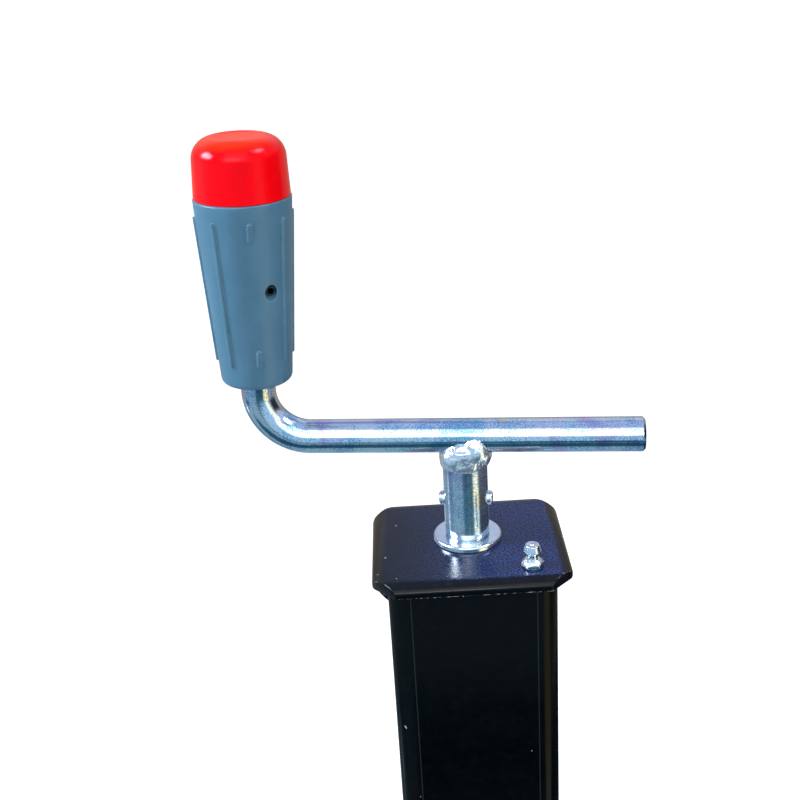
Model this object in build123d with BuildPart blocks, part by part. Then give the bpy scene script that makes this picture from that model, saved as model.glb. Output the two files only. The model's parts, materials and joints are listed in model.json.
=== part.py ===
"""Trailer prop stand: a square telescopic leg wound by a crank on its top plate.

The leg is drawn fully wound in. The origin is the centre of the foot plate's underside, on the
spindle's axis. +Z is up, -Y is the front, and the grip stands on the -X side. Sizes are in
millimetres and degrees.
"""

import os
from math import atan2, cos, radians, sin, sqrt

from build123d import *

# Sizes of the tubes and the plates
outer_side = 68.0
outer_wall = 4.0
outer_corner = 9.0
outer_length = 565.0
tube_play = 1.0  # between the two tubes, on each side
inner_wall = 4.0
inner_corner = 6.0
stroke = 300.0
plate_overhang = 6.0  # of the top plate past the tube, on the left and on the right
plate_depth = 71.0
plate_shift = 1.8  # of the top plate's middle towards the front
plate_thickness = 5.0
plate_front_cut = 9.3
plate_back_cut = 10.7
plate_roll_width = 6.5  # of the rounding along the plate's left and right edges
plate_roll_drop = 3.4
plate_weld_width = 5.6
plate_weld_drop_left = 8.0
plate_weld_drop_right = 6.0
plate_weld_swell = 0.8
foot_side = 140.0
foot_thickness = 8.0
foot_corner_cut = 22.0
foot_edge_round = 1.5
foot_gap = 22.0  # from the foot plate up to the outer tube, wound in
foot_weld_leg = 5.0
weld_land = 0.3

# Sizes of the grease nipple
nipple_side_inset = 9.9  # from the tube's right face to the nipple's axis
nipple_wall_play = 1.0
nipple_thread_radius = 3.0
nipple_thread_length = 6.5
nipple_standoff = 0.7  # of the hexagon over the plate, on the tapered thread's last turn
nipple_hexagon = 8.0
nipple_hexagon_height = 2.9
nipple_hexagon_chamfer = 1.3
nipple_neck_radius = 2.1
nipple_head_radius = 3.5
nipple_crown_radius = 2.8
nipple_height = 9.8
nipple_crown_drop = 2.6  # from the nipple's top to the widest part of its head
nipple_head_drop = 3.9  # from the nipple's top to the neck below the head
nipple_mouth_radius = 0.8
nipple_ball_radius = 1.0
nipple_bore_radius = 1.3

# Sizes of the spindle and what it carries inside the tubes
running_clearance = 0.05
fit_clearance = 0.02
axial_clearance = 0.1
spindle_radius = 10.0
journal_radius = 7.0
seat_step = 0.5
journal_rise = 38.0  # of the spindle's top over the top plate
end_chamfer = 1.0
ball_radius = 2.95
ball_count = 11
ball_play = 0.05
groove_depth = 1.1
race_floor = 3.0
race_chamfer = 0.6
upper_race_room = 1.0
bearing_radius = 16.0
cage_thickness = 2.4
cage_play = 0.7
collar_radius = 15.0
collar_height = 8.0
collar_pin_radius = 2.0
closed_gap = 0.5
nut_radius = 17.0
nut_length = 36.0
nut_plate_thickness = 8.0
nut_weld_leg = 5.0
nut_weld_hollow = 0.9
stop_radius = 17.0
stop_thickness = 4.0
stop_pin_radius = 2.0
pin_recess = 0.3
stop_end_length = 6.0  # of the spindle past the stop washer's pin

# Sizes of the crank
crank_azimuth = -6.8
washer_radius = 14.0
washer_hole_radius = 7.5
washer_thickness = 2.4
washer_chamfer = 0.3
sleeve_wall = 2.1
sleeve_shoulder = 6.0  # of the sleeve's saddle up the sides of the rod
cross_pin_radius = 3.0
cross_pin_wall = 1.2
cross_pin_length = 22.0
cross_pin_slot = 1.0
cross_pin_chamfer = 0.5
cross_pin_height = 18.5
rod_radius = 7.0
rod_height = 46.7  # of the rod's axis over the top plate
rod_free_end = 71.6
rod_chamfer = 1.0
crank_throw = 82.5
crank_bend_radius = 20.0
leg_lean = 1.6
weld_foot_width = 0.9
weld_shoulder_width = 2.6
weld_drop = 6.5  # of the weld below the rod
weld_shoulder_drop = 2.1
weld_crest_radius = 3.1
weld_rise = 4.2  # of the weld up the rod's sides
weld_lobe_length = 19.6  # of the lobes that climb the rod in front and behind
weld_lobe_height = 11.4
weld_lobe_level = -4.0  # of the lobes' middle from the rod's axis
weld_lobe_thickness = 5.0
weld_lobe_round = 2.5
weld_lobe_reach = 5.0  # of the lobes' inner faces from the spindle's axis
weld_lobe_lean = 10.0

# Sizes of the grip, whose heights run along the leg from the crank's corner
grip_bottom = 25.8
grip_top = 100.0
grip_bottom_radius = 14.1
grip_top_radius = 18.8
grip_bottom_round = 2.5
grip_rim_chamfer = 0.6
grip_bore_clearance = 0.1
grip_socket_radius = 14.0
grip_socket_depth = 14.0
grip_turn = 289.8  # of the grip's marks about the leg, from the crank's own direction
grip_pin_height = 65.6
grip_pin_radius = 2.0
grip_pin_offset = 6.5
grip_pin_recess = 2.0
groove_play = 0.2
rod_end_play = 2.0
rib_count = 8
rib_width = 1.3
rib_height = 0.8
rib_top_margin = 6.3
rib_bottom_margin = 9.8
dash_width = 2.2
dash_length = 7.3
rib_root = 0.6
cap_height = 22.6
cap_base_radius = 18.4
cap_shoulder_radius = 17.75
cap_edge_round = 8.3
cap_disc_radius = 8.4
cap_disc_depth = 0.4
cap_wall = 2.6
cap_spigot_wall = 2.4
cap_spigot_play = 1.0

# Heights over the ground, from the foot up
foot_top = foot_thickness
outer_bottom = foot_top + foot_gap
plate_underside = outer_bottom + outer_length
plate_top = plate_underside + plate_thickness
race_thickness = race_floor + groove_depth
race_gap = 2 * (ball_radius + ball_play - groove_depth)
bearing_middle = plate_underside - race_thickness - race_gap / 2
bearing_bottom = bearing_middle - race_gap / 2 - race_thickness
collar_bottom = bearing_bottom - collar_height
nut_top = collar_bottom - closed_gap
inner_top = nut_top - nut_plate_thickness
nut_bottom = nut_top - nut_length
stop_top = nut_bottom - stroke - closed_gap
stop_pin_level = stop_top - stop_thickness - fit_clearance - stop_pin_radius
spindle_bottom = stop_pin_level - stop_pin_radius - stop_end_length
washer_bottom = plate_top + axial_clearance
washer_top = washer_bottom + washer_thickness
rod_level = plate_top + rod_height
sleeve_top = rod_level - rod_radius + sleeve_shoulder

# Widths that follow from the sizes above
outer_bore = outer_side - 2 * outer_wall
inner_side = outer_bore - 2 * tube_play
inner_bore = inner_side - 2 * inner_wall
plate_length = outer_side + 2 * plate_overhang
seat_radius = journal_radius + seat_step
ball_circle_radius = (seat_radius + bearing_radius) / 2
groove_radius = ball_radius + ball_play
sleeve_bore_radius = journal_radius + fit_clearance
sleeve_radius = sleeve_bore_radius + sleeve_wall
plate_back = -plate_shift + plate_depth / 2
nipple_x = outer_side / 2 - nipple_side_inset
nipple_y = -(outer_side / 2 - outer_wall - nipple_wall_play - nipple_thread_radius)
full_turn = 360.0

# Planes and axes of the crank: its own section through the rod and the leg, and the grip's frame
azimuth = radians(crank_azimuth)
weld_lean = radians(weld_lobe_lean)
lean = radians(leg_lean)
crank_out = Vector(cos(azimuth), sin(azimuth), 0)
crank_side = Vector(-sin(azimuth), cos(azimuth), 0)
up = Vector(0, 0, 1)
crank_section = Plane(origin=(0, 0, rod_level), x_dir=crank_out, z_dir=-crank_side)
crank_corner = crank_out * -crank_throw + up * rod_level
leg_up = up * cos(lean) + crank_out * sin(lean)
leg_out = crank_out * cos(lean) - up * sin(lean)
grip_section = Plane(origin=crank_corner, x_dir=leg_out, z_dir=-crank_side)
grip_axis = Axis(crank_corner, leg_up)
grip_taper = (grip_top_radius - grip_bottom_radius) / (grip_top - grip_bottom)
grip_slope = atan2(grip_top_radius - grip_bottom_radius, grip_top - grip_bottom)
rod_end = grip_top - rod_end_play
groove_root = grip_pin_offset - grip_pin_radius - groove_play


def from_leg(angle):
    """The direction straight out of the leg at an angle round it from the grip's marks."""
    turn = radians(grip_turn + angle)
    return leg_out * cos(turn) + crank_side * sin(turn)


def grip_radius(height):
    """The grip's plain radius at a height along the leg."""
    return grip_bottom_radius + grip_taper * (height - grip_bottom)


def grip_surface(angle, height):
    """A plane that lies on the grip at an angle round it, with its X axis up the slope."""
    outwards = from_leg(angle)
    return Plane(
        origin=crank_corner + outwards * grip_radius(height) + leg_up * height,
        x_dir=outwards * sin(grip_slope) + leg_up * cos(grip_slope),
        z_dir=outwards * cos(grip_slope) - leg_up * sin(grip_slope),
    )


grip_pin_frame = Plane(
    origin=crank_corner + leg_up * grip_pin_height + from_leg(full_turn / 4) * grip_pin_offset,
    z_dir=from_leg(0),
)


def finish(part, label):
    """Labels a finished piece and writes it to its own file."""
    part.label = label
    export_step(part, f"parts/{label}.step")


os.makedirs("parts", exist_ok=True)

# Outer tube, a plain square section with rounded corners
with BuildPart() as outer_tube:
    with BuildSketch(Plane.XY.offset(outer_bottom)):
        RectangleRounded(outer_side, outer_side, outer_corner)
        RectangleRounded(outer_bore, outer_bore, outer_corner - outer_wall, mode=Mode.SUBTRACT)
    extrude(amount=outer_length)
finish(outer_tube.part, "outer_tube")

# Top plate, flat bar with clipped corners, rolled along its left and right edges
with BuildPart() as top_plate:
    with BuildSketch(Plane.XZ.offset(-plate_back)):
        with BuildLine():
            roll_inset = plate_length / 2 - plate_roll_width
            roll_foot = plate_top - plate_roll_drop
            for side, start in ((1, 0), (-1, 90)):
                EllipticalCenterArc(
                    (side * roll_inset, roll_foot),
                    plate_roll_width,
                    plate_roll_drop,
                    start_angle=start,
                    arc_size=90,
                )
            Line((-roll_inset, plate_top), (roll_inset, plate_top))
            Polyline(
                (plate_length / 2, roll_foot),
                (plate_length / 2, plate_underside),
                (-plate_length / 2, plate_underside),
                (-plate_length / 2, roll_foot),
            )
        make_face()
    extrude(amount=plate_depth)
    with BuildSketch(Plane.XY.offset(plate_underside)) as plate_outline:
        with Locations((0, -plate_shift)):
            Rectangle(plate_length, plate_depth)
        chamfer(plate_outline.vertices().group_by(Axis.Y)[0], plate_front_cut)
        chamfer(plate_outline.vertices().group_by(Axis.Y)[-1], plate_back_cut)
    extrude(amount=plate_thickness, mode=Mode.INTERSECT)
    with BuildSketch(Plane.XY.offset(plate_underside)):
        Circle(journal_radius + running_clearance)
        with Locations((nipple_x, nipple_y)):
            Circle(nipple_thread_radius + fit_clearance)
    extrude(amount=plate_thickness, mode=Mode.SUBTRACT)
finish(top_plate.part, "top_plate")

# Fillet welds under the plate's overhangs, one along each side of the tube
plate_weld_length = outer_side - 2 * outer_corner
with BuildPart() as plate_welds:
    for side, drop in ((-1, plate_weld_drop_left), (1, plate_weld_drop_right)):
        with BuildSketch(Plane.XZ.offset(-plate_weld_length / 2)):
            with BuildLine():
                corner = (side * outer_side / 2, plate_underside)
                toe = (side * (outer_side / 2 + plate_weld_width), plate_underside)
                root = (side * outer_side / 2, plate_underside - drop)
                Polyline(toe, corner, root)
                SagittaArc(root, toe, -side * plate_weld_swell)
            make_face()
        extrude(amount=plate_weld_length)
finish(plate_welds.part, "plate_welds")

# Grease nipple, screwed into the plate, with a hexagon and a coned head round its check ball
nipple_section = Plane(origin=(nipple_x, nipple_y, plate_top), x_dir=(1, 0, 0), z_dir=(0, -1, 0))
nipple_axis = Axis((nipple_x, nipple_y, 0), (0, 0, 1))
nipple_ball_level = nipple_height - sqrt((nipple_ball_radius + fit_clearance) ** 2 - nipple_mouth_radius**2)
with BuildPart() as grease_nipple:
    with BuildSketch(Plane.XY.offset(plate_top + nipple_standoff)):
        with Locations((nipple_x, nipple_y)):
            RegularPolygon(nipple_hexagon / 2, 6, major_radius=False)
    extrude(amount=nipple_hexagon_height)
    chamfer(grease_nipple.faces().sort_by(Axis.Z)[-1].edges(), nipple_hexagon_chamfer)
    with BuildSketch(nipple_section):
        Polygon(
            (0, -nipple_thread_length),
            (nipple_thread_radius, -nipple_thread_length),
            (nipple_thread_radius, nipple_standoff),
            (nipple_neck_radius, nipple_standoff),
            (nipple_neck_radius, nipple_height - nipple_head_drop),
            (nipple_head_radius, nipple_height - nipple_crown_drop),
            (nipple_crown_radius, nipple_height),
            (0, nipple_height),
            align=None,
        )
    revolve(axis=nipple_axis)
    with BuildSketch(nipple_section):
        Polygon(
            (0, -nipple_thread_length),
            (nipple_bore_radius, -nipple_thread_length),
            (nipple_bore_radius, nipple_ball_level),
            (nipple_mouth_radius, nipple_height),
            (0, nipple_height),
            align=None,
        )
    revolve(axis=nipple_axis, mode=Mode.SUBTRACT)
finish(grease_nipple.part, "grease_nipple")

# Check ball in the nipple's mouth
with BuildPart() as nipple_ball:
    with Locations((nipple_x, nipple_y, plate_top + nipple_ball_level)):
        Sphere(nipple_ball_radius)
finish(nipple_ball.part, "nipple_ball")


# Ball thrust bearing, its upper race against the top plate and its lower race on the collar
def race(bore_radius, low, groove_level):
    """A flat bearing ring from a level up, with a ball groove round a level above or below it."""
    with BuildPart() as ring:
        with BuildSketch(Plane.XY.offset(low)):
            Circle(bearing_radius)
            Circle(bore_radius, mode=Mode.SUBTRACT)
        extrude(amount=race_thickness)
        chamfer(ring.edges().filter_by(GeomType.CIRCLE).sort_by(Edge.radius)[-2:], race_chamfer)
        with BuildSketch(Plane.XZ):
            with Locations((ball_circle_radius, groove_level)):
                Circle(groove_radius)
        revolve(axis=Axis.Z, mode=Mode.SUBTRACT)
    return ring.part


finish(race(seat_radius + upper_race_room, plate_underside - race_thickness, bearing_middle), "upper_race")
finish(race(seat_radius + fit_clearance, bearing_bottom, bearing_middle), "lower_race")

with BuildPart() as bearing_balls:
    with Locations(Plane.XY.offset(bearing_middle)):
        with PolarLocations(ball_circle_radius, ball_count):
            Sphere(ball_radius)
finish(bearing_balls.part, "bearing_balls")

with BuildPart() as ball_cage:
    with BuildSketch(Plane.XY.offset(bearing_middle - cage_thickness / 2)):
        Circle(bearing_radius - cage_play)
        Circle(seat_radius + cage_play, mode=Mode.SUBTRACT)
        with PolarLocations(ball_circle_radius, ball_count):
            Circle(ball_radius + running_clearance, mode=Mode.SUBTRACT)
    extrude(amount=cage_thickness)
finish(ball_cage.part, "ball_cage")

# Spindle, turned from one bar: journal in the plate and sleeve, bearing seat, screw and stub
with BuildPart() as spindle:
    with BuildSketch(Plane.XZ):
        with BuildLine():
            Polyline(
                (0, spindle_bottom),
                (journal_radius - end_chamfer, spindle_bottom),
                (journal_radius, spindle_bottom + end_chamfer),
                (journal_radius, stop_top),
                (spindle_radius - end_chamfer, stop_top),
                (spindle_radius, stop_top + end_chamfer),
                (spindle_radius, collar_bottom - end_chamfer),
                (spindle_radius - end_chamfer, collar_bottom),
                (seat_radius, collar_bottom),
                (seat_radius, plate_underside - axial_clearance),
                (journal_radius, plate_underside - axial_clearance),
                (journal_radius, plate_top + journal_rise - end_chamfer),
                (journal_radius - end_chamfer, plate_top + journal_rise),
                (0, plate_top + journal_rise),
                close=True,
            )
        make_face()
    revolve(axis=Axis.Z)
    with BuildSketch(Plane.YZ):
        with Locations((0, stop_pin_level)):
            Circle(stop_pin_radius + fit_clearance)
        with Locations((0, collar_bottom + collar_height / 2)):
            Circle(collar_pin_radius + fit_clearance)
    extrude(amount=collar_radius, both=True, mode=Mode.SUBTRACT)
    with BuildSketch(Plane(origin=(0, 0, plate_top), x_dir=crank_side, z_dir=crank_out)):
        with Locations((0, cross_pin_height)):
            Circle(cross_pin_radius + fit_clearance)
    extrude(amount=sleeve_radius, both=True, mode=Mode.SUBTRACT)
finish(spindle.part, "spindle")

# Thrust collar on the spindle's shoulder, with the pin that locks it
with BuildPart() as thrust_collar:
    with BuildSketch(Plane.XY.offset(collar_bottom)):
        Circle(collar_radius)
        Circle(seat_radius + fit_clearance, mode=Mode.SUBTRACT)
    extrude(amount=collar_height)
    chamfer(thrust_collar.edges().filter_by(GeomType.CIRCLE).sort_by(Edge.radius)[-2:], race_chamfer)
    with BuildSketch(Plane.YZ):
        with Locations((0, collar_bottom + collar_height / 2)):
            Circle(collar_pin_radius + fit_clearance)
    extrude(amount=collar_radius, both=True, mode=Mode.SUBTRACT)
finish(thrust_collar.part, "thrust_collar")

with BuildPart() as collar_pin:
    with BuildSketch(Plane.YZ):
        with Locations((0, collar_bottom + collar_height / 2)):
            Circle(collar_pin_radius)
    extrude(amount=collar_radius - pin_recess, both=True)
finish(collar_pin.part, "collar_pin")

# Stop washer at the spindle's lower end, with the pin that carries it
with BuildPart() as stop_washer:
    with BuildSketch(Plane.XY.offset(stop_top - stop_thickness)):
        Circle(stop_radius)
        Circle(journal_radius + fit_clearance, mode=Mode.SUBTRACT)
    extrude(amount=stop_thickness)
    chamfer(stop_washer.edges().filter_by(GeomType.CIRCLE).sort_by(Edge.radius)[-2:], race_chamfer)
finish(stop_washer.part, "stop_washer")

with BuildPart() as stop_pin:
    with BuildSketch(Plane.YZ):
        with Locations((0, stop_pin_level)):
            Circle(stop_pin_radius)
    extrude(amount=stop_radius - pin_recess, both=True)
finish(stop_pin.part, "stop_pin")

# Nut of the screw in its square plate, welded below, which closes the inner tube's top
with BuildPart() as spindle_nut:
    with BuildSketch(Plane.XY.offset(nut_bottom)):
        Circle(nut_radius)
        Circle(spindle_radius + running_clearance, mode=Mode.SUBTRACT)
    extrude(amount=nut_length)
    chamfer(spindle_nut.faces().sort_by(Axis.Z)[0].edges(), end_chamfer)
finish(spindle_nut.part, "spindle_nut")

with BuildPart() as nut_plate:
    with BuildSketch(Plane.XY.offset(inner_top)):
        RectangleRounded(inner_side, inner_side, inner_corner)
        Circle(nut_radius + fit_clearance, mode=Mode.SUBTRACT)
    extrude(amount=nut_plate_thickness)
finish(nut_plate.part, "nut_plate")

with BuildPart() as nut_weld:
    with BuildSketch(Plane.XZ):
        with BuildLine():
            wall = nut_radius + fit_clearance
            toe = (wall + nut_weld_leg, inner_top)
            root = (wall, inner_top - nut_weld_leg)
            Polyline(toe, (wall, inner_top), root)
            SagittaArc(root, toe, nut_weld_hollow)
        make_face()
    revolve(axis=Axis.Z)
finish(nut_weld.part, "nut_weld")

# Inner tube, foot plate and the weld between them
with BuildPart() as inner_tube:
    with BuildSketch(Plane.XY.offset(foot_top)):
        RectangleRounded(inner_side, inner_side, inner_corner)
        RectangleRounded(inner_bore, inner_bore, inner_corner - inner_wall, mode=Mode.SUBTRACT)
    extrude(amount=inner_top - foot_top)
finish(inner_tube.part, "inner_tube")

with BuildPart() as foot_plate:
    with BuildSketch() as foot_outline:
        Rectangle(foot_side, foot_side)
        chamfer(foot_outline.vertices(), foot_corner_cut)
    extrude(amount=foot_thickness)
    fillet(foot_plate.faces().sort_by(Axis.Z)[-1].edges(), foot_edge_round)
finish(foot_plate.part, "foot_plate")

weld_side = inner_side + 2 * foot_weld_leg
with BuildPart() as foot_weld:
    with BuildSketch(Plane.XY.offset(foot_top)):
        RectangleRounded(weld_side, weld_side, inner_corner + foot_weld_leg)
    with BuildSketch(Plane.XY.offset(foot_top + foot_weld_leg)):
        top_side = inner_side + 2 * weld_land
        RectangleRounded(top_side, top_side, inner_corner + weld_land)
    loft()
    with BuildSketch(Plane.XY.offset(foot_top)):
        RectangleRounded(inner_side, inner_side, inner_corner)
    extrude(amount=foot_weld_leg, mode=Mode.SUBTRACT)
finish(foot_weld.part, "foot_weld")

# Washer between the top plate and the crank's sleeve
with BuildPart() as crank_washer:
    with BuildSketch(Plane.XY.offset(washer_bottom)):
        Circle(washer_radius)
        Circle(washer_hole_radius, mode=Mode.SUBTRACT)
    extrude(amount=washer_thickness)
    chamfer(crank_washer.edges().filter_by(GeomType.CIRCLE).sort_by(Edge.radius)[-2:], washer_chamfer)
finish(crank_washer.part, "crank_washer")

# Crank rod, one bent bar, with the turned groove that holds the grip's pin
with BuildPart() as crank_rod:
    with BuildLine(crank_section) as rod_path:
        FilletPolyline(
            (rod_free_end, 0),
            (-crank_throw, 0),
            (-crank_throw + rod_end * sin(lean), rod_end * cos(lean)),
            radius=crank_bend_radius,
        )
    with BuildSketch(Plane(origin=rod_path.line @ 0, z_dir=rod_path.line % 0)):
        Circle(rod_radius)
    sweep()
    rims = crank_rod.edges().filter_by(GeomType.CIRCLE)
    chamfer([rims.sort_by(Axis.Z)[-1], rims.sort_by(Axis(crank_corner, crank_out))[-1]], rod_chamfer)
    with BuildSketch(grip_section):
        with Locations((rod_radius, grip_pin_height)):
            Rectangle(2 * (rod_radius - groove_root), 2 * (grip_pin_radius + groove_play))
    revolve(axis=grip_axis, mode=Mode.SUBTRACT)
finish(crank_rod.part, "crank_rod")

# Crank sleeve, a short tube over the journal, cut to a saddle round the rod
with BuildPart() as crank_sleeve:
    with BuildSketch(Plane.XY.offset(washer_top)):
        Circle(sleeve_radius)
        Circle(sleeve_bore_radius, mode=Mode.SUBTRACT)
    extrude(amount=sleeve_top - washer_top)
    with BuildSketch(Plane(origin=(0, 0, rod_level), x_dir=crank_side, z_dir=crank_out)):
        Circle(rod_radius + fit_clearance)
    extrude(amount=2 * sleeve_radius, both=True, mode=Mode.SUBTRACT)
    with BuildSketch(Plane(origin=(0, 0, plate_top), x_dir=crank_side, z_dir=crank_out)):
        with Locations((0, cross_pin_height)):
            Circle(cross_pin_radius + fit_clearance)
    extrude(amount=2 * sleeve_radius, both=True, mode=Mode.SUBTRACT)
finish(crank_sleeve.part, "crank_sleeve")

# Cross pin through the sleeve and the spindle, a slotted spring pin rolled from strip
with BuildPart() as cross_pin:
    with BuildSketch(Plane(origin=(0, 0, plate_top), x_dir=crank_side, z_dir=crank_out)):
        with Locations((0, cross_pin_height)):
            Circle(cross_pin_radius)
            Circle(cross_pin_radius - cross_pin_wall, mode=Mode.SUBTRACT)
    extrude(amount=cross_pin_length / 2, both=True)
    chamfer(cross_pin.edges().filter_by(GeomType.CIRCLE).group_by(Edge.radius)[-1], cross_pin_chamfer)
    with BuildSketch(Plane(origin=(0, 0, plate_top + cross_pin_height), x_dir=crank_out)):
        Rectangle(cross_pin_length, cross_pin_slot)
    extrude(amount=-cross_pin_radius, mode=Mode.SUBTRACT)
finish(cross_pin.part, "cross_pin")

# Weld between the rod and the sleeve, a collar with a lobe up the rod in front and one behind
with BuildPart() as crank_weld:
    for face in (-1, 1):
        lobe_middle = crank_side * face * weld_lobe_reach + up * (rod_level + weld_lobe_level)
        lobe_along = crank_out * cos(weld_lean) - up * sin(weld_lean) * face
        with BuildSketch(Plane(origin=lobe_middle, x_dir=lobe_along, z_dir=crank_side * face)):
            Ellipse(weld_lobe_length / 2, weld_lobe_height / 2)
        extrude(amount=weld_lobe_thickness)
    fillet(crank_weld.faces().sort_by(Axis((0, 0, 0), crank_side))[0].edges(), weld_lobe_round)
    fillet(crank_weld.faces().sort_by(Axis((0, 0, 0), crank_side))[-1].edges(), weld_lobe_round)
    with BuildSketch(crank_section):
        with BuildLine():
            weld_bore = sleeve_radius + fit_clearance
            crest_level = weld_rise - rod_radius
            foot_level = -weld_drop - rod_radius
            belly = (weld_bore + weld_foot_width, foot_level + weld_foot_width)
            shoulder = (weld_bore + weld_shoulder_width, crest_level - weld_shoulder_drop)
            Polyline(belly, (weld_bore, foot_level), (journal_radius, foot_level))
            Polyline((journal_radius, foot_level), (journal_radius, crest_level), (weld_bore, crest_level))
            Line(belly, shoulder)
            RadiusArc(shoulder, (weld_bore, crest_level), -weld_crest_radius)
        make_face()
    revolve(axis=Axis.Z)
    with BuildSketch(Plane.XY.offset(sleeve_top + fit_clearance)):
        Circle(weld_bore)
    extrude(amount=washer_top - sleeve_top, mode=Mode.SUBTRACT)
    with BuildSketch(Plane(origin=(0, 0, rod_level), x_dir=crank_side, z_dir=crank_out)):
        Circle(rod_radius + fit_clearance)
    extrude(amount=2 * sleeve_radius, both=True, mode=Mode.SUBTRACT)
finish(crank_weld.part, "crank_weld")

# Grip, a tapered moulding that turns on the leg, with raised ribs and two short dashes in front
with BuildPart() as grip_body:
    with BuildSketch(grip_section):
        with BuildLine():
            bore = rod_radius + grip_bore_clearance
            socket_floor = grip_top - grip_socket_depth
            Polyline(
                (bore, grip_bottom),
                (grip_bottom_radius, grip_bottom),
                (grip_top_radius, grip_top),
                (grip_socket_radius, grip_top),
                (grip_socket_radius, socket_floor),
                (bore, socket_floor),
                close=True,
            )
        make_face()
    revolve(axis=grip_axis)
    rims = grip_body.edges().filter_by(GeomType.CIRCLE).sort_by(Edge.radius)
    chamfer(rims[-1], grip_rim_chamfer)
    foot_rim = grip_body.edges().filter_by(GeomType.CIRCLE).group_by(grip_axis)[0].sort_by(Edge.radius)[-1]
    fillet(foot_rim, grip_bottom_round)
    rib_low = grip_bottom + rib_bottom_margin
    rib_high = grip_top - rib_top_margin
    rib_middle = (rib_low + rib_high) / 2
    for step in range(1, rib_count):
        with BuildSketch(grip_surface(step * full_turn / rib_count, rib_middle).offset(-rib_root)):
            SlotOverall((rib_high - rib_low) / cos(grip_slope), rib_width)
        extrude(amount=rib_root + rib_height)
    for level in (rib_low + dash_length / 2, rib_high - dash_length / 2):
        with BuildSketch(grip_surface(0, level).offset(-rib_root)):
            SlotOverall(dash_length, dash_width)
        extrude(amount=rib_root + rib_height)
    with BuildSketch(grip_pin_frame):
        Circle(grip_pin_radius + fit_clearance)
    extrude(amount=2 * grip_top_radius, both=True, mode=Mode.SUBTRACT)
finish(grip_body.part, "grip_body")

# Pin through the grip, beside the leg, that runs in the leg's groove
with BuildPart() as grip_pin:
    with BuildSketch(grip_pin_frame):
        Circle(grip_pin_radius)
    reach = sqrt(grip_radius(grip_pin_height) ** 2 - grip_pin_offset**2) - grip_pin_recess
    extrude(amount=reach, both=True)
finish(grip_pin.part, "grip_pin")

# Cap, a hollow dome with a dished disc on top, plugged into the grip's socket by its spigot
with BuildPart() as grip_cap:
    with BuildSketch(grip_section):
        with BuildLine():
            cap_top = grip_top + cap_height
            spigot_radius = grip_socket_radius - fit_clearance
            spigot_bore = spigot_radius - cap_spigot_wall
            spigot_end = grip_top - grip_socket_depth + cap_spigot_play
            cap_shoulder = cap_top - cap_edge_round
            Polyline(
                (0, cap_top - cap_disc_depth),
                (cap_disc_radius, cap_top - cap_disc_depth),
                (cap_disc_radius + cap_disc_depth, cap_top),
                (cap_shoulder_radius - cap_edge_round, cap_top),
            )
            RadiusArc(
                (cap_shoulder_radius - cap_edge_round, cap_top),
                (cap_shoulder_radius, cap_shoulder),
                cap_edge_round,
            )
            Polyline(
                (cap_shoulder_radius, cap_shoulder),
                (cap_base_radius, grip_top),
                (spigot_radius, grip_top),
                (spigot_radius, spigot_end),
                (spigot_bore, spigot_end),
                (spigot_bore, grip_top + cap_wall),
                (cap_base_radius - cap_wall, grip_top + cap_wall),
                (cap_shoulder_radius - cap_wall, cap_shoulder),
            )
            RadiusArc(
                (cap_shoulder_radius - cap_wall, cap_shoulder),
                (cap_shoulder_radius - cap_edge_round, cap_top - cap_wall),
                -(cap_edge_round - cap_wall),
            )
            Polyline(
                (cap_shoulder_radius - cap_edge_round, cap_top - cap_wall),
                (0, cap_top - cap_wall),
                (0, cap_top - cap_disc_depth),
            )
        make_face()
    revolve(axis=grip_axis)
finish(grip_cap.part, "grip_cap")
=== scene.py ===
"""Looks of a square telescopic prop stand with a bent crank on its top plate.

Every length is in metres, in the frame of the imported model: the underside of the wound-in foot
lies round the origin, +Z is up and the camera looks from -Y.
"""

import json
from math import atan2, cos, pi, radians, sin, sqrt

import bmesh
import bpy
from mathutils import Matrix, Vector


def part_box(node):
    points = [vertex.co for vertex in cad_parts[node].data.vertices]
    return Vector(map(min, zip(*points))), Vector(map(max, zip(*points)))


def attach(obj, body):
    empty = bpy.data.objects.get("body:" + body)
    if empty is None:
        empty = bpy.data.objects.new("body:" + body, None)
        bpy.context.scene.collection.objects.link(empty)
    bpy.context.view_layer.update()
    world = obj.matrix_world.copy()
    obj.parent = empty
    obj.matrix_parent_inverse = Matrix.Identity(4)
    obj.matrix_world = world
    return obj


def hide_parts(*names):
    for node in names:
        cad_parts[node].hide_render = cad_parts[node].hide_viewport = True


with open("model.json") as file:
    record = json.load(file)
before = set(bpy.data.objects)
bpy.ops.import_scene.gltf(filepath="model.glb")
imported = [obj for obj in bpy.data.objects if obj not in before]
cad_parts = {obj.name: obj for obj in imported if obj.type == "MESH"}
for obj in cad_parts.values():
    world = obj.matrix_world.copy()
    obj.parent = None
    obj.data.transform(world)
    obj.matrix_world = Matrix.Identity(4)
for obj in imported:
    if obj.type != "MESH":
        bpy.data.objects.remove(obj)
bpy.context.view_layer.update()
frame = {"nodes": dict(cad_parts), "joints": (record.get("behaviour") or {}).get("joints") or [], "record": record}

bl_info = {
    "name": "Prop stand",
    "version": (1, 0, 0),
    "blender": (4, 5, 0),
    "location": "View3D > Sidebar > Prop stand",
    "description": "Models and finishes a square telescopic prop stand",
    "category": "Object",
}

MM = 0.001
# How close to a face a corner or edge counts as on it
NEAR = 0.01 * MM
# Gap between two pieces that touch
FIT = 0.02 * MM

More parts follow.
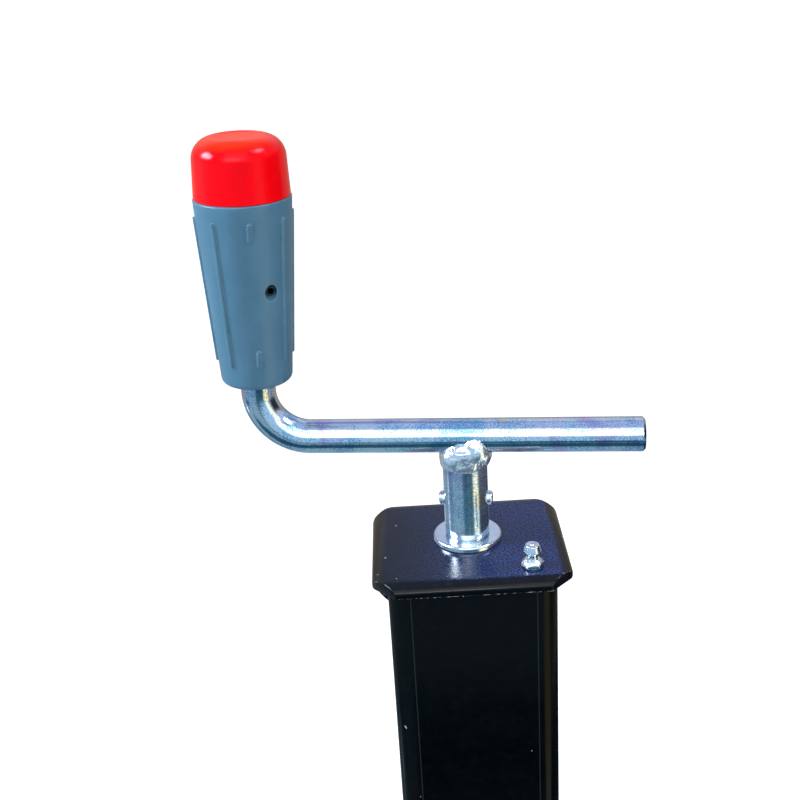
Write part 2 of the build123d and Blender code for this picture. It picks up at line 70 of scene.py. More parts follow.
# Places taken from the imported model
tube_low, tube_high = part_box("outer_tube")
plate_low, plate_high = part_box("top_plate")
inner_low, inner_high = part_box("inner_tube")
foot_low, foot_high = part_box("foot_plate")
nipple_low, nipple_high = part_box("grease_nipple")
washer_low, washer_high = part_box("crank_washer")
nipple_axis = (nipple_low + nipple_high) / 2
grip_joint = next(joint for joint in frame["joints"] if joint["name"] == "grip_spin")
leg_axis = Vector(grip_joint["axis"]).normalized()
crank_azimuth = atan2(leg_axis.y, leg_axis.x)
leg_lean = atan2(leg_axis.xy.length, leg_axis.z)

# How far the leg winds out: the floor lies that far below the foot, where the stand comes to bear
leg_stroke = 300 * MM

# How far the sleeve's upper end slopes in and down under the weld
horn_slope = Vector((1.7, 5.5)) * MM


def length(name, description, millimetres):
    """A size in the sidebar, with its default in millimetres."""
    return bpy.props.FloatProperty(
        name=name, description=description, default=millimetres * MM, unit="LENGTH", precision=5
    )


def colour(name, description, red, green, blue):
    """A colour in the sidebar."""
    return bpy.props.FloatVectorProperty(
        name=name, description=description, default=(red, green, blue), subtype="COLOR"
    )


class StandSizes(bpy.types.PropertyGroup):
    """Sizes that a user of the stand would change."""

    tube_wall: length("Tube wall", "Wall of the outer tube", 4)
    tube_corner: length("Tube corner", "Outer corner radius of the outer tube", 9)
    leg_corner: length("Leg corner", "Outer corner radius of the inner tube", 6)
    plate_front_cut: length("Front corners", "Cut of the top plate's front corners", 9.3)
    plate_back_cut: length("Back corners", "Cut of the top plate's back corners", 10.7)
    plate_roll_width: length("Plate roll width", "Rounding in from the plate's left and right edges", 6.5)
    plate_roll_drop: length("Plate roll drop", "Rounding down the plate's left and right edges", 3.4)
    weld_drop_left: length("Left weld", "Drop of the weld under the plate, on the left", 8)
    weld_drop_right: length("Right weld", "Drop of the weld under the plate, on the right", 6)
    foot_cut: length("Foot corner", "Corner cut of the foot plate", 22)
    sleeve_radius: length("Sleeve radius", "Outer radius of the crank's sleeve", 9.12)
    journal_radius: length("Journal radius", "Radius of the spindle inside the sleeve", 7)
    pin_radius: length("Pin radius", "Radius of the spring pin across the sleeve", 3)
    pin_wall: length("Pin wall", "Wall of the spring pin", 1.2)
    pin_length: length("Pin length", "Length of the spring pin", 22)
    pin_height: length("Pin height", "Pin's axis over the top plate", 18.5)
    rod_radius: length("Rod radius", "Radius of the bent rod", 7)
    rod_rise: length("Rod height", "Rod's axis over the top plate", 46.7)
    rod_free_end: length("Free end", "Rod past the spindle, away from the grip", 71.6)
    throw: length("Throw", "From the spindle to the crank's leg", 82.5)
    bend_radius: length("Bend radius", "Radius of the rod's bend", 20)
    grip_bottom: length("Grip bottom", "Along the leg, from the crank's corner", 25.8)
    grip_top: length("Grip top", "Along the leg, from the crank's corner", 100)
    grip_bottom_radius: length("Grip bottom radius", "Radius at the grip's foot", 14.1)
    grip_top_radius: length("Grip top radius", "Radius at the grip's rim", 18.8)
    grip_turn: bpy.props.FloatProperty(
        name="Grip turn", description="Turn of the grip's dashes about the leg", default=radians(289.8),
        subtype="ANGLE",
    )
    grip_pin_height: length("Grip pin height", "Grip pin along the leg, from the crank's corner", 65.6)
    grip_pin_offset: length("Grip pin offset", "Grip pin's axis beside the leg's axis", 6.5)
    cap_height: length("Cap height", "Cap over the grip's rim", 22.6)
    cap_base_radius: length("Cap base radius", "Radius of the cap at the grip's rim", 18.4)
    cap_shoulder_radius: length("Cap shoulder radius", "Radius of the cap under its dome", 17.75)


class StandColours(bpy.types.PropertyGroup):
    """Colours that a user of the stand would change."""

    cap: colour("Cap", "Gloss red moulding", 1.0, 0.0, 0.004)
    # Warmer red on the cap's top disc: a painted reflection
    cap_disc_reflection: colour("Cap disc", "Warmer red of the dished disc", 1.0, 0.03, 0.0)
    grip: colour("Grip", "Blue-grey moulding", 0.056, 0.155, 0.245)
    zinc_pale: colour("Pale zinc", "Main tone of the plating", 0.68, 0.76, 0.84)
    zinc_blue: colour("Blue zinc", "Blue bloom of the plating", 0.22, 0.44, 0.66)
    zinc_violet: colour("Violet zinc", "Violet bloom of the plating", 0.42, 0.4, 0.66)
    zinc_straw: colour("Straw zinc", "Yellow bloom of the plating", 0.74, 0.68, 0.5)
    tube: colour("Tube paint", "Gloss black paint", 0.0006, 0.0012, 0.0016)
    plate: colour("Plate paint", "Satin black paint", 0.003, 0.004, 0.007)
    # Blue grain in the plate's paint, which also paints a sheen on the plate's top
    plate_grain_sheen: colour("Plate sparkle", "Blue grain in the plate's paint", 0.02, 0.05, 0.22)
    steel: colour("Steel", "Bare steel inside the stand", 0.5, 0.49, 0.47)


# Steps of modelling that the pieces share


def deselect():
    """Leaves edit mode and deselects everything."""
    if bpy.context.mode != "OBJECT":
        bpy.ops.object.mode_set(mode="OBJECT")
    bpy.ops.object.select_all(action="DESELECT")


def activate(piece):
    """Makes one piece the only selected one, and the active one."""
    deselect()
    piece.select_set(True)
    bpy.context.view_layer.objects.active = piece


def take_all(kind="VERT"):
    """Selects all of a mesh as vertices, edges or faces, in edit mode."""
    bpy.ops.mesh.select_mode(type=kind)
    bpy.ops.mesh.select_all(action="SELECT")


def begin(name, shape, scale=(1, 1, 1), **settings):
    """Adds a primitive, puts its place and scale in its mesh and opens it in edit mode."""
    deselect()
    getattr(bpy.ops.mesh, f"primitive_{shape}_add")(**settings)
    piece = bpy.context.object
    piece.name = piece.data.name = name
    piece.scale = scale
    bpy.ops.object.transform_apply(location=True, rotation=True, scale=True)
    bpy.ops.object.mode_set(mode="EDIT")
    take_all()
    return piece


def choose(piece, kind, test):
    """Opens a piece in edit mode with the vertices, edges or faces selected that pass a test."""
    activate(piece)
    bpy.ops.object.mode_set(mode="EDIT")
    bpy.ops.mesh.select_mode(type=kind)
    bpy.ops.mesh.select_all(action="DESELECT")
    mesh = bmesh.from_edit_mesh(piece.data)
    for item in {"VERT": mesh.verts, "EDGE": mesh.edges, "FACE": mesh.faces}[kind]:
        if test(item):
            item.select_set(True)
    mesh.select_flush_mode()
    bmesh.update_edit_mesh(piece.data)


def close_up(fill=True):
    """Fills the open ends, if asked, turns the faces outwards and leaves edit mode."""
    take_all()
    if fill:
        bpy.ops.mesh.remove_doubles(threshold=0.002 * MM)
        bpy.ops.mesh.fill_holes(sides=0)
        bpy.ops.mesh.select_all(action="SELECT")
    bpy.ops.mesh.normals_make_consistent(inside=False)
    deselect()


def raise_by(height):
    """Pulls the selected faces up, in edit mode."""
    bpy.ops.mesh.extrude_region_move(TRANSFORM_OT_translate={"value": (0, 0, height)})


def pull(shift, share=1.0, centre=(0, 0, 0)):
    """Pulls the selected ring along and resizes it about its new centre, in edit mode."""
    bpy.ops.mesh.extrude_edges_move(TRANSFORM_OT_translate={"value": tuple(shift)})
    if share != 1.0:
        bpy.ops.transform.resize(value=(share, share, share), center_override=tuple(centre))


def turned(name, profile, sides=96):
    """A piece turned about Z: one ring pulled along a profile of radii and heights."""
    radius, height = profile[0]
    half_side = pi / sides
    piece = begin(
        name, "circle", vertices=sides, radius=radius, location=(0, 0, height), rotation=(0, 0, half_side)
    )
    for next_radius, next_height in profile[1:]:
        pull((0, 0, next_height - height), next_radius / radius, (0, 0, next_height))
        radius, height = next_radius, next_height
    close_up()
    return piece


def arc(centre, radius, start, end, steps):
    """Points of a profile's arc, between two angles in degrees from the outward direction."""
    turns = [radians(start + (end - start) * step / steps) for step in range(steps + 1)]
    return [(centre[0] + radius * cos(turn), centre[1] + radius * sin(turn)) for turn in turns]


def between(start, end, steps):
    """Points of a profile's straight stretch, without its two ends."""
    shares = [step / steps for step in range(1, steps)]
    return [tuple(a + (b - a) * share for a, b in zip(start, end)) for share in shares]


def in_metres(profile):
    """A profile that is written in millimetres."""
    return [(radius * MM, height * MM) for radius, height in profile]


def apply_modifier(piece, kind, **settings):
    """Adds a modifier with its settings and applies it."""
    activate(piece)
    modifier = piece.modifiers.new(kind.lower(), kind)
    for key, value in settings.items():
        setattr(modifier, key, value)
    bpy.ops.object.modifier_apply(modifier=modifier.name)


def soften(piece, width, segments=2, limit=32):
    """Rounds a piece's sharp edges by a small width."""
    apply_modifier(
        piece, "BEVEL", width=width, segments=segments, limit_method="ANGLE", angle_limit=radians(limit),
        use_clamp_overlap=True,
    )


def combine(piece, other, operation="DIFFERENCE"):
    """Cuts or joins a closed piece by another one, which is then removed."""
    apply_modifier(piece, "BOOLEAN", operation=operation, object=other, solver="EXACT")
    bpy.data.objects.remove(other, do_unlink=True)


def place(piece, matrix):
    """Moves a piece to its own frame and keeps its place in its mesh."""
    activate(piece)
    piece.matrix_world = matrix @ piece.matrix_world
    bpy.ops.object.transform_apply(location=True, rotation=True, scale=True)
    return piece


def bar(radius, start, end, sides=96):
    """A plain round bar between two points, used as a cutter."""
    line = Vector(end) - Vector(start)
    piece = begin("bar", "cylinder", vertices=sides, radius=radius, depth=line.length)
    turn = line.to_track_quat("Z", "Y").to_matrix().to_4x4()
    return place(piece, Matrix.Translation((Vector(start) + Vector(end)) / 2) @ turn)


def square_sheet(name, width, corner, level, segments):
    """A level square sheet round the stand's axis with rounded or cut corners, in edit mode."""
    piece = begin(name, "plane", (width, width, 1), size=1, location=(0, 0, level))
    bpy.ops.mesh.bevel(offset=corner, segments=segments, affect="VERTICES")
    take_all("FACE")
    return piece


def square_wall(name, width, corner, low, high, thickness, side=-1, cuts=0):
    """A square wall with rounded corners between two levels, thickened inwards (-1) or outwards (1)."""
    piece = square_sheet(name, width, corner, low, 10)
    raise_by(high - low)
    choose(piece, "FACE", lambda face: abs(face.normal.z) > 0.9)
    bpy.ops.mesh.delete(type="FACE")
    if cuts:
        bpy.ops.mesh.select_all(action="SELECT")
        bpy.ops.mesh.subdivide(number_cuts=cuts)
    close_up(fill=False)
    apply_modifier(piece, "SOLIDIFY", thickness=thickness, offset=side, use_even_offset=True)
    return piece


def slot_bar(name, overall, width, height, root):
    """A low bar with round ends along X, its upper edge rounded, standing in the surface by its root."""
    run = overall - width
    piece = begin(
        name, "circle", vertices=24, radius=width / 2, location=(-run / 2, 0, -root), fill_type="NGON"
    )
    choose(piece, "VERT", lambda corner: corner.co.x > NEAR - run / 2)
    bpy.ops.transform.translate(value=(run, 0, 0))
    take_all("FACE")
    raise_by(root + height)
    close_up()
    choose(piece, "EDGE", lambda line: all(corner.co.z > height - NEAR for corner in line.verts))
    bpy.ops.mesh.bevel(offset=0.45 * MM, segments=4)
    deselect()
    return piece


def copies(piece, count):
    """A piece and its copies, each with its own mesh, as many in all as asked for."""
    pieces = [piece]
    while len(pieces) < count:
        activate(piece)
        bpy.ops.object.duplicate()
        pieces.append(bpy.context.object)
    return pieces


def join(pieces):
    """Joins loose pieces into the first one, as one object."""
    activate(pieces[0])
    for piece in pieces:
        piece.select_set(True)
    bpy.ops.object.join()
    return pieces[0]


def finish_piece(piece, finish, body, node, sharp=35):
    """Shades a finished piece and says what it is made of, rides on and stands for."""
    activate(piece)
    bpy.ops.object.shade_smooth_by_angle(angle=radians(sharp))
    piece.data.materials.clear()
    piece.data.materials.append(finish)
    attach(piece, body)
    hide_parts(node)
    deselect()


def crank_frame():
    """The crank's frame: X along the rod, Z up, its origin on the spindle's axis at the rod's height."""
    sizes = bpy.context.scene.stand_sizes
    origin = Matrix.Translation((0, 0, plate_high.z + sizes.rod_rise))
    return origin @ Matrix.Rotation(crank_azimuth, 4, "Z")


def grip_frame():
    """The grip's frame: Z up the leg from the crank's corner, X straight out through the dashes."""
    sizes = bpy.context.scene.stand_sizes
    leg = crank_frame() @ Matrix.Translation((-sizes.throw, 0, 0)) @ Matrix.Rotation(leg_lean, 4, "Y")
    return leg @ Matrix.Rotation(sizes.grip_turn, 4, "Z")


# Steps of node building that the finishes share


def add(tree, kind, inputs=None, **settings):
    """Adds a shader node, sets its properties, and gives its inputs values or links."""
    node = tree.nodes.new("ShaderNode" + kind)
    for key, value in settings.items():
        setattr(node, key, value)
    for key, value in (inputs or {}).items():
        if isinstance(value, bpy.types.NodeSocket):
            tree.links.new(value, node.inputs[key])
        else:
            node.inputs[key].default_value = value
    return node


def maths(tree, operation, first, second=0.0):
    """One sum on two values."""
    return add(tree, "Math", {0: first, 1: second}, operation=operation).outputs[0]


def times(tree, first, second):
    """The product of two values."""
    return maths(tree, "MULTIPLY", first, second)


def spread(tree, value, low, high, to_low=0.0, to_high=1.0):
    """Maps a value from one range to another, smoothly and clamped."""
    ends = {"Value": value, "From Min": low, "From Max": high, "To Min": to_low, "To Max": to_high}
    return add(tree, "MapRange", ends, interpolation_type="SMOOTHSTEP").outputs["Result"]


def window(tree, value, low, high, edge):
    """A share that is 1 between two values and fades out past them."""
    rise = spread(tree, value, low - edge, low + edge)
    fall = spread(tree, value, high - edge, high + edge, 1.0, 0.0)
    return times(tree, rise, fall)


def blend(tree, share, first, second, strength=None):
    """Mixes two colours by a share, which a strength makes smaller."""
    inputs = {0: share if strength is None else times(tree, share, strength)}
    for index, value in ((6, first), (7, second)):
        inputs[index] = value if isinstance(value, bpy.types.NodeSocket) else (*value, 1)
    return add(tree, "Mix", inputs, data_type="RGBA").outputs[2]


def noise(tree, vector, scale, detail=3.0, rough=0.5, distortion=0.0):
    """The value of a noise texture."""
    inputs = {"Vector": vector, "Scale": scale, "Detail": detail, "Roughness": rough}
    return add(tree, "TexNoise", {**inputs, "Distortion": distortion}).outputs["Fac"]


def bump(tree, height, strength, depth):
    """A normal that is raised by a height map."""
    inputs = {"Height": height, "Strength": strength, "Distance": depth}
    return add(tree, "Bump", inputs).outputs[0]


def start_group(name, inputs, outputs):
    """An empty node group with named sockets, its input node and its output node."""
    tree = bpy.data.node_groups.new(name, "ShaderNodeTree")
    kinds = {float: "Float", tuple: "Color", type(None): "Vector"}
    for label, value in inputs.items():
        kind = "NodeSocket" + kinds[type(value)]
        socket = tree.interface.new_socket(label, in_out="INPUT", socket_type=kind)
        if value is not None:
            socket.default_value = value
    for label, kind in outputs.items():
        tree.interface.new_socket(label, in_out="OUTPUT", socket_type="NodeSocket" + kind)
    return tree, tree.nodes.new("NodeGroupInput").outputs, tree.nodes.new("NodeGroupOutput").inputs


def make_grain_group():
    """Clouds of fine grain between a low and a high end."""
    tree, given, result = start_group(
        "grain",
        {"Place": None, "Scale": 500.0, "Roughen": 0.6, "Low": 0.4, "High": 0.6},
        {"Mask": "Float", "Height": "Float"},
    )
    clouds = noise(tree, given["Place"], given["Scale"], 4.0, given["Roughen"])
    tree.links.new(spread(tree, clouds, given["Low"], given["High"]), result["Mask"])
    tree.links.new(clouds, result["Height"])


def make_scratch_group():
    """Sparse fine scratches: long thin cells of noise, where a second noise lets them show."""
    tree, given, result = start_group(
        "scratches",
        {"Place": None, "Scale": 200.0, "Thinness": 0.012, "Amount": 0.5},
        {"Mask": "Float"},
    )
    waves = noise(tree, given["Place"], given["Scale"], 1.0, 0.4, 2.5)
    line = maths(tree, "ABSOLUTE", maths(tree, "SUBTRACT", waves, 0.5))
    thin = spread(tree, line, 0.0, given["Thinness"], 1.0, 0.0)
    where = noise(tree, given["Place"], times(tree, given["Scale"], 0.35), 2.0)
    level = maths(tree, "SUBTRACT", 1.0, given["Amount"])
    shown = spread(tree, where, level, maths(tree, "ADD", level, 0.06))
    tree.links.new(times(tree, thin, shown), result["Mask"])


def make_wear_group():
    """Rubbed and chipped edges, which some finishes also use for painted highlights: where a rounded normal leaves
    the plain one, broken up by grain.
    """
    tree, given, result = start_group(
        "edge_wear_and_highlight",
        {"Place": None, "Width": 0.4 * MM, "Scale": 700.0, "Low": 0.45, "High": 0.6},
        {"Mask": "Float"},
    )
    normals = {
        0: add(tree, "Bevel", {"Radius": given["Width"]}, samples=6).outputs["Normal"],
        1: add(tree, "NewGeometry").outputs["Normal"],
    }
    facing = add(tree, "VectorMath", normals, operation="DOT_PRODUCT").outputs["Value"]
    edge = spread(tree, facing, 0.985, 0.9)
    grain = noise(tree, given["Place"], given["Scale"], 3.0, 0.6)
    breaks = spread(tree, grain, given["Low"], given["High"])
    tree.links.new(times(tree, edge, breaks), result["Mask"])


def make_bloom_group():
    """Colour of plated zinc: a pale ground with speckled drifts of blue, violet and straw."""
    tones = {tone: (1.0, 1.0, 1.0, 1.0) for tone in ("Pale", "Blue", "Violet", "Straw")}
    tree, given, result = start_group(
        "zinc_bloom",
        {"Place": None, "Scale": 60.0, "Speckle": 900.0, **tones},
        {"Colour": "Color", "Mask": "Float", "Height": "Float"},
    )
    drift = noise(tree, given["Place"], given["Scale"], 3.0, 0.5, 0.6)
    other = noise(tree, given["Place"], times(tree, given["Scale"], 0.63), 2.0, 0.5, 1.2)
    speckle = noise(tree, given["Place"], given["Speckle"], 3.0, 0.65)
    centred = maths(tree, "SUBTRACT", speckle, 0.5)
    tone = given["Pale"]
    # Each bloom: the clouds that it follows, how much the speckle breaks it up, and its two ends
    for bloom, clouds, broken, low, high in (
        ("Blue", drift, 1.7, 0.44, 0.68),
        ("Violet", other, 0.5, 0.54, 0.72),
        ("Straw", other, 0.4, 0.36, 0.24),
    ):
        share = spread(tree, maths(tree, "ADD", clouds, times(tree, centred, broken)), low, high)
        tone = blend(tree, share, tone, given[bloom])
    tree.links.new(tone, result["Colour"])
    tree.links.new(spread(tree, speckle, 0.35, 0.65), result["Mask"])
    tree.links.new(speckle, result["Height"])


def group(tree, name, where, **inputs):
    """Sets a shared group into a finish, with its own values."""
    node = add(tree, "Group", node_tree=bpy.data.node_groups[name])
    tree.links.new(where, node.inputs["Place"])
    for key, value in inputs.items():
        node.inputs[key.capitalize()].default_value = value
    return node.outputs


def new_finish(name, **values):
    """A material with one Principled shader. Gives the material, its tree and its place socket."""
    finish = bpy.data.materials.new(name)
    finish.use_nodes = True
    tree = finish.node_tree
    tree.nodes.clear()
    inputs = {key.replace("_", " "): value for key, value in values.items()}
    shader = add(tree, "BsdfPrincipled", inputs)
    add(tree, "OutputMaterial", {"Surface": shader.outputs[0]})
    return finish, tree, add(tree, "TexCoord").outputs["Object"]


def complete(finish, tone, share, roughness, normal):
    """Gives a finish its colour, its roughness between two ends by a share, and its normal."""
    tree = finish.node_tree
    shader = tree.nodes["Principled BSDF"].inputs
    tree.links.new(tone, shader["Base Color"])
    tree.links.new(spread(tree, share, 0, 1, *roughness), shader["Roughness"])
    tree.links.new(normal, shader["Normal"])
    return finish


def zinc_finish(name, roughness=(0.07, 0.2), scale=60.0, speckle=1900.0, depth=0.022 * MM, plain=0.0,
                lathe=0.0, metal=1.0):
    """Bright plated zinc with its bloom, its speckle and, where it was turned, fine level lines."""
    colours = bpy.context.scene.stand_colours
    finish, tree, where = new_finish(name, Metallic=metal)
    pale = Vector(colours.zinc_pale)
    tones = {tone: (*Vector(getattr(colours, "zinc_" + tone)).lerp(pale, plain), 1)
             for tone in ("pale", "blue", "violet", "straw")}
    bloom = group(tree, "zinc_bloom", where, scale=scale, speckle=speckle, **tones)
    normal = bump(tree, bloom["Height"], 0.6, depth)
    if lathe:
        stretch = add(tree, "Mapping", {"Vector": where, "Scale": (200, 200, lathe)}).outputs[0]
        lines = bump(tree, noise(tree, stretch, 1.0, 2.0), 1.0, 0.03 * MM)
        tree.links.new(normal, lines.node.inputs["Normal"])
        normal = lines
    return complete(finish, bloom["Colour"], bloom["Mask"], roughness, normal)


def paint_finish(name, ground, marks, roughness, peel_scale, peel_depth, flecks, wear, gloss):
    """Black paint with orange peel, dust, scratches, pale flecks, pale edges that are partly chipped paint and
    partly painted highlights, and the marks and painted light that each surface adds.
    """
    finish, tree, where = new_finish(name, Specular_IOR_Level=gloss)
    dust = group(tree, "grain", where, scale=260.0, low=0.45, high=0.8)
    tone = blend(tree, dust["Mask"], ground, tuple(2.0 * part + 0.0006 for part in ground))
    specks = group(tree, "grain", where, scale=420.0, roughen=0.2, low=flecks, high=flecks + 0.02)
    tone = blend(tree, specks["Mask"], tone, (0.3, 0.33, 0.34))
    scratches = group(tree, "scratches", where, scale=45.0, thinness=0.004, amount=0.42)
    tone = blend(tree, scratches["Mask"], tone, (0.12, 0.14, 0.14), 0.25)
    # Pale edges: chipped paint, which on the plate also stands in for painted edge highlights
    chips_and_painted_highlights = group(tree, "edge_wear_and_highlight", where, width=0.5 * MM, low=0.48, high=0.6)
    tone = blend(tree, chips_and_painted_highlights["Mask"], tone, (0.6, 0.63, 0.65), wear)
    cloud = group(tree, "grain", where, scale=90.0, low=0.3, high=0.7)
    skin = group(tree, "grain", where, scale=peel_scale, roughen=0.35)
    normal = bump(tree, skin["Height"], 0.5, peel_depth)
    return complete(finish, marks(tree, where, tone), cloud["Mask"], roughness, normal)


def tube_painted_highlights(tree, where, tone):
    """Painted highlight lines where the tube's front wall turns into each corner."""
    split = add(tree, "SeparateXYZ", {"Vector": where}).outputs
    start = tube_high.x - bpy.context.scene.stand_sizes.tube_corner
    across = maths(tree, "ABSOLUTE", split["X"])
    # Painted highlight: a fine lighter line on the front face where each corner starts
    painted_highlight_line = window(tree, across, start - 0.2 * MM, start + 0.2 * MM, 0.15 * MM)
    front = spread(tree, split["Y"], tube_low.y + 0.8 * MM, tube_low.y + 0.4 * MM)
    return blend(tree, painted_highlight_line, tone, (0.014, 0.022, 0.02), front)


def plate_grain_and_painted_light(tree, where, tone):
    """Blue grain on the plate's top with a painted sheen that grows to the right, a painted brown reflection on
    the left roll and painted shade on the front band.
    """
    grain_sheen = bpy.context.scene.stand_colours.plate_grain_sheen
    split = add(tree, "SeparateXYZ", {"Vector": where}).outputs
    grain = group(tree, "grain", where, scale=1150.0, low=0.41, high=0.61)
    # Painted sheen: the blue grain grows towards the right of the plate's top
    sheen_growth = spread(tree, split["X"], -36 * MM, 24 * MM, 0.08, 1.0)
    on_top = spread(tree, split["Z"], plate_high.z - 0.3 * MM, plate_high.z - 0.05 * MM)
    tone = blend(tree, grain["Mask"], tone, grain_sheen, times(tree, sheen_growth, on_top))
    # Painted reflection: a dark brown tone over the plate's left roll
    rolled = spread(tree, split["X"], plate_low.x + 7 * MM, plate_low.x + 3 * MM)
    tone = blend(tree, rolled, tone, (0.016, 0.014, 0.006), 0.5)
    # Painted shade: the plate's front band is darkened nearly to black, above its bottom edge
    front = spread(tree, split["Y"], plate_low.y + 2.2 * MM, plate_low.y + 0.9 * MM)
    above = spread(tree, split["Z"], plate_low.z + 0.3 * MM, plate_low.z + 0.8 * MM)
    return blend(tree, front, tone, (0.0006, 0.0012, 0.002), above)


def steel_finish(name, tone, roughness, scale=1200.0):
    """Bare or greased steel with fine grain."""
    finish, tree, where = new_finish(name, Metallic=1.0)
    grain = group(tree, "grain", where, scale=scale)
    shade = blend(tree, grain["Mask"], tuple(0.7 * part for part in tone), tone)
    return complete(finish, shade, grain["Mask"], roughness, bump(tree, grain["Height"], 0.25, 0.02 * MM))


def grip_finish():
    """Blue-grey moulding with an eroded satin skin, rubbed clouds, and pale edges on the rim and ribs that are
    partly rubbed wear and partly painted highlight.
    """
    ground = tuple(bpy.context.scene.stand_colours.grip)
    lighter = tuple(1.25 * part + 0.012 for part in ground)
    finish, tree, where = new_finish("grip_moulding", Specular_IOR_Level=0.5)
    cloud = group(tree, "grain", where, scale=110.0, low=0.35, high=0.7)
    tone = blend(tree, cloud["Mask"], ground, lighter, 0.35)
    skin = group(tree, "grain", where, scale=1700.0, low=0.35, high=0.65)
    tone = blend(tree, skin["Mask"], tone, lighter, 0.25)
    # Pale edges on the rim and ribs: rubbed wear and a painted highlight
    rubbed_and_highlit = group(tree, "edge_wear_and_highlight", where, width=0.7 * MM, scale=300.0, low=0.25, high=0.5)
    tone = blend(tree, rubbed_and_highlit["Mask"], tone, (0.35, 0.5, 0.6), 0.45)
    return complete(finish, tone, cloud["Mask"], (0.36, 0.46), bump(tree, skin["Height"], 0.3, 0.04 * MM))


def cap_finish(disc_level):
    """Gloss red moulding, with a painted warm reflection on the disc on its top."""
    colours = bpy.context.scene.stand_colours
    finish, tree, where = new_finish(
        "cap_moulding", Specular_IOR_Level=0.3, Specular_Tint=(1.0, 0.4, 0.55, 1.0)
    )
    cloud = group(tree, "grain", where, scale=60.0, low=0.3, high=0.75)
    tone = blend(tree, cloud["Mask"], tuple(0.88 * part for part in colours.cap), colours.cap)
    height = add(tree, "SeparateXYZ", {"Vector": where}).outputs["Z"]
    # Painted reflection: the disc on the cap's top turns a warmer red
    painted_reflection_share = spread(tree, height, disc_level - 4 * MM, disc_level - 0.5 * MM)
    tone = blend(tree, painted_reflection_share, tone, colours.cap_disc_reflection)
    skin = group(tree, "grain", where, scale=350.0, roughen=0.4)
    return complete(finish, tone, cloud["Mask"], (0.16, 0.24), bump(tree, skin["Height"], 0.2, 0.06 * MM))


# Pieces


class STAND_OT_tubes(bpy.types.Operator):
    """Draws the black outer tube and the plated tube that slides in it"""

    bl_idname = "stand.tubes"
    bl_label = "Tubes"

    def execute(self, context):
        sizes = context.scene.stand_sizes
        paint = paint_finish(
            "tube_paint", context.scene.stand_colours.tube, tube_painted_highlights, roughness=(0.12, 0.2),
            peel_scale=160.0, peel_depth=0.04 * MM, flecks=0.81, wear=0.12, gloss=0.1,
        )
        outer = self.tube("square_tube", tube_low, tube_high, sizes.tube_corner, sizes.tube_wall)
        finish_piece(outer, paint, "housing", "outer_tube")
        zinc = zinc_finish("leg_plating", (0.22, 0.36), 25.0, 700.0, 0.03 * MM, 0.6)
        inner = self.tube("sliding_tube", inner_low, inner_high, sizes.leg_corner, sizes.tube_wall)
        finish_piece(inner, zinc, "leg", "inner_tube")
        return {"FINISHED"}

    def tube(self, name, low, high, corner, wall):
        """A square tube that fills a box and has softened ends."""
        piece = square_wall(name, high.x - low.x, corner, low.z, high.z, wall)
        soften(piece, 0.3 * MM, limit=60)
        return piece


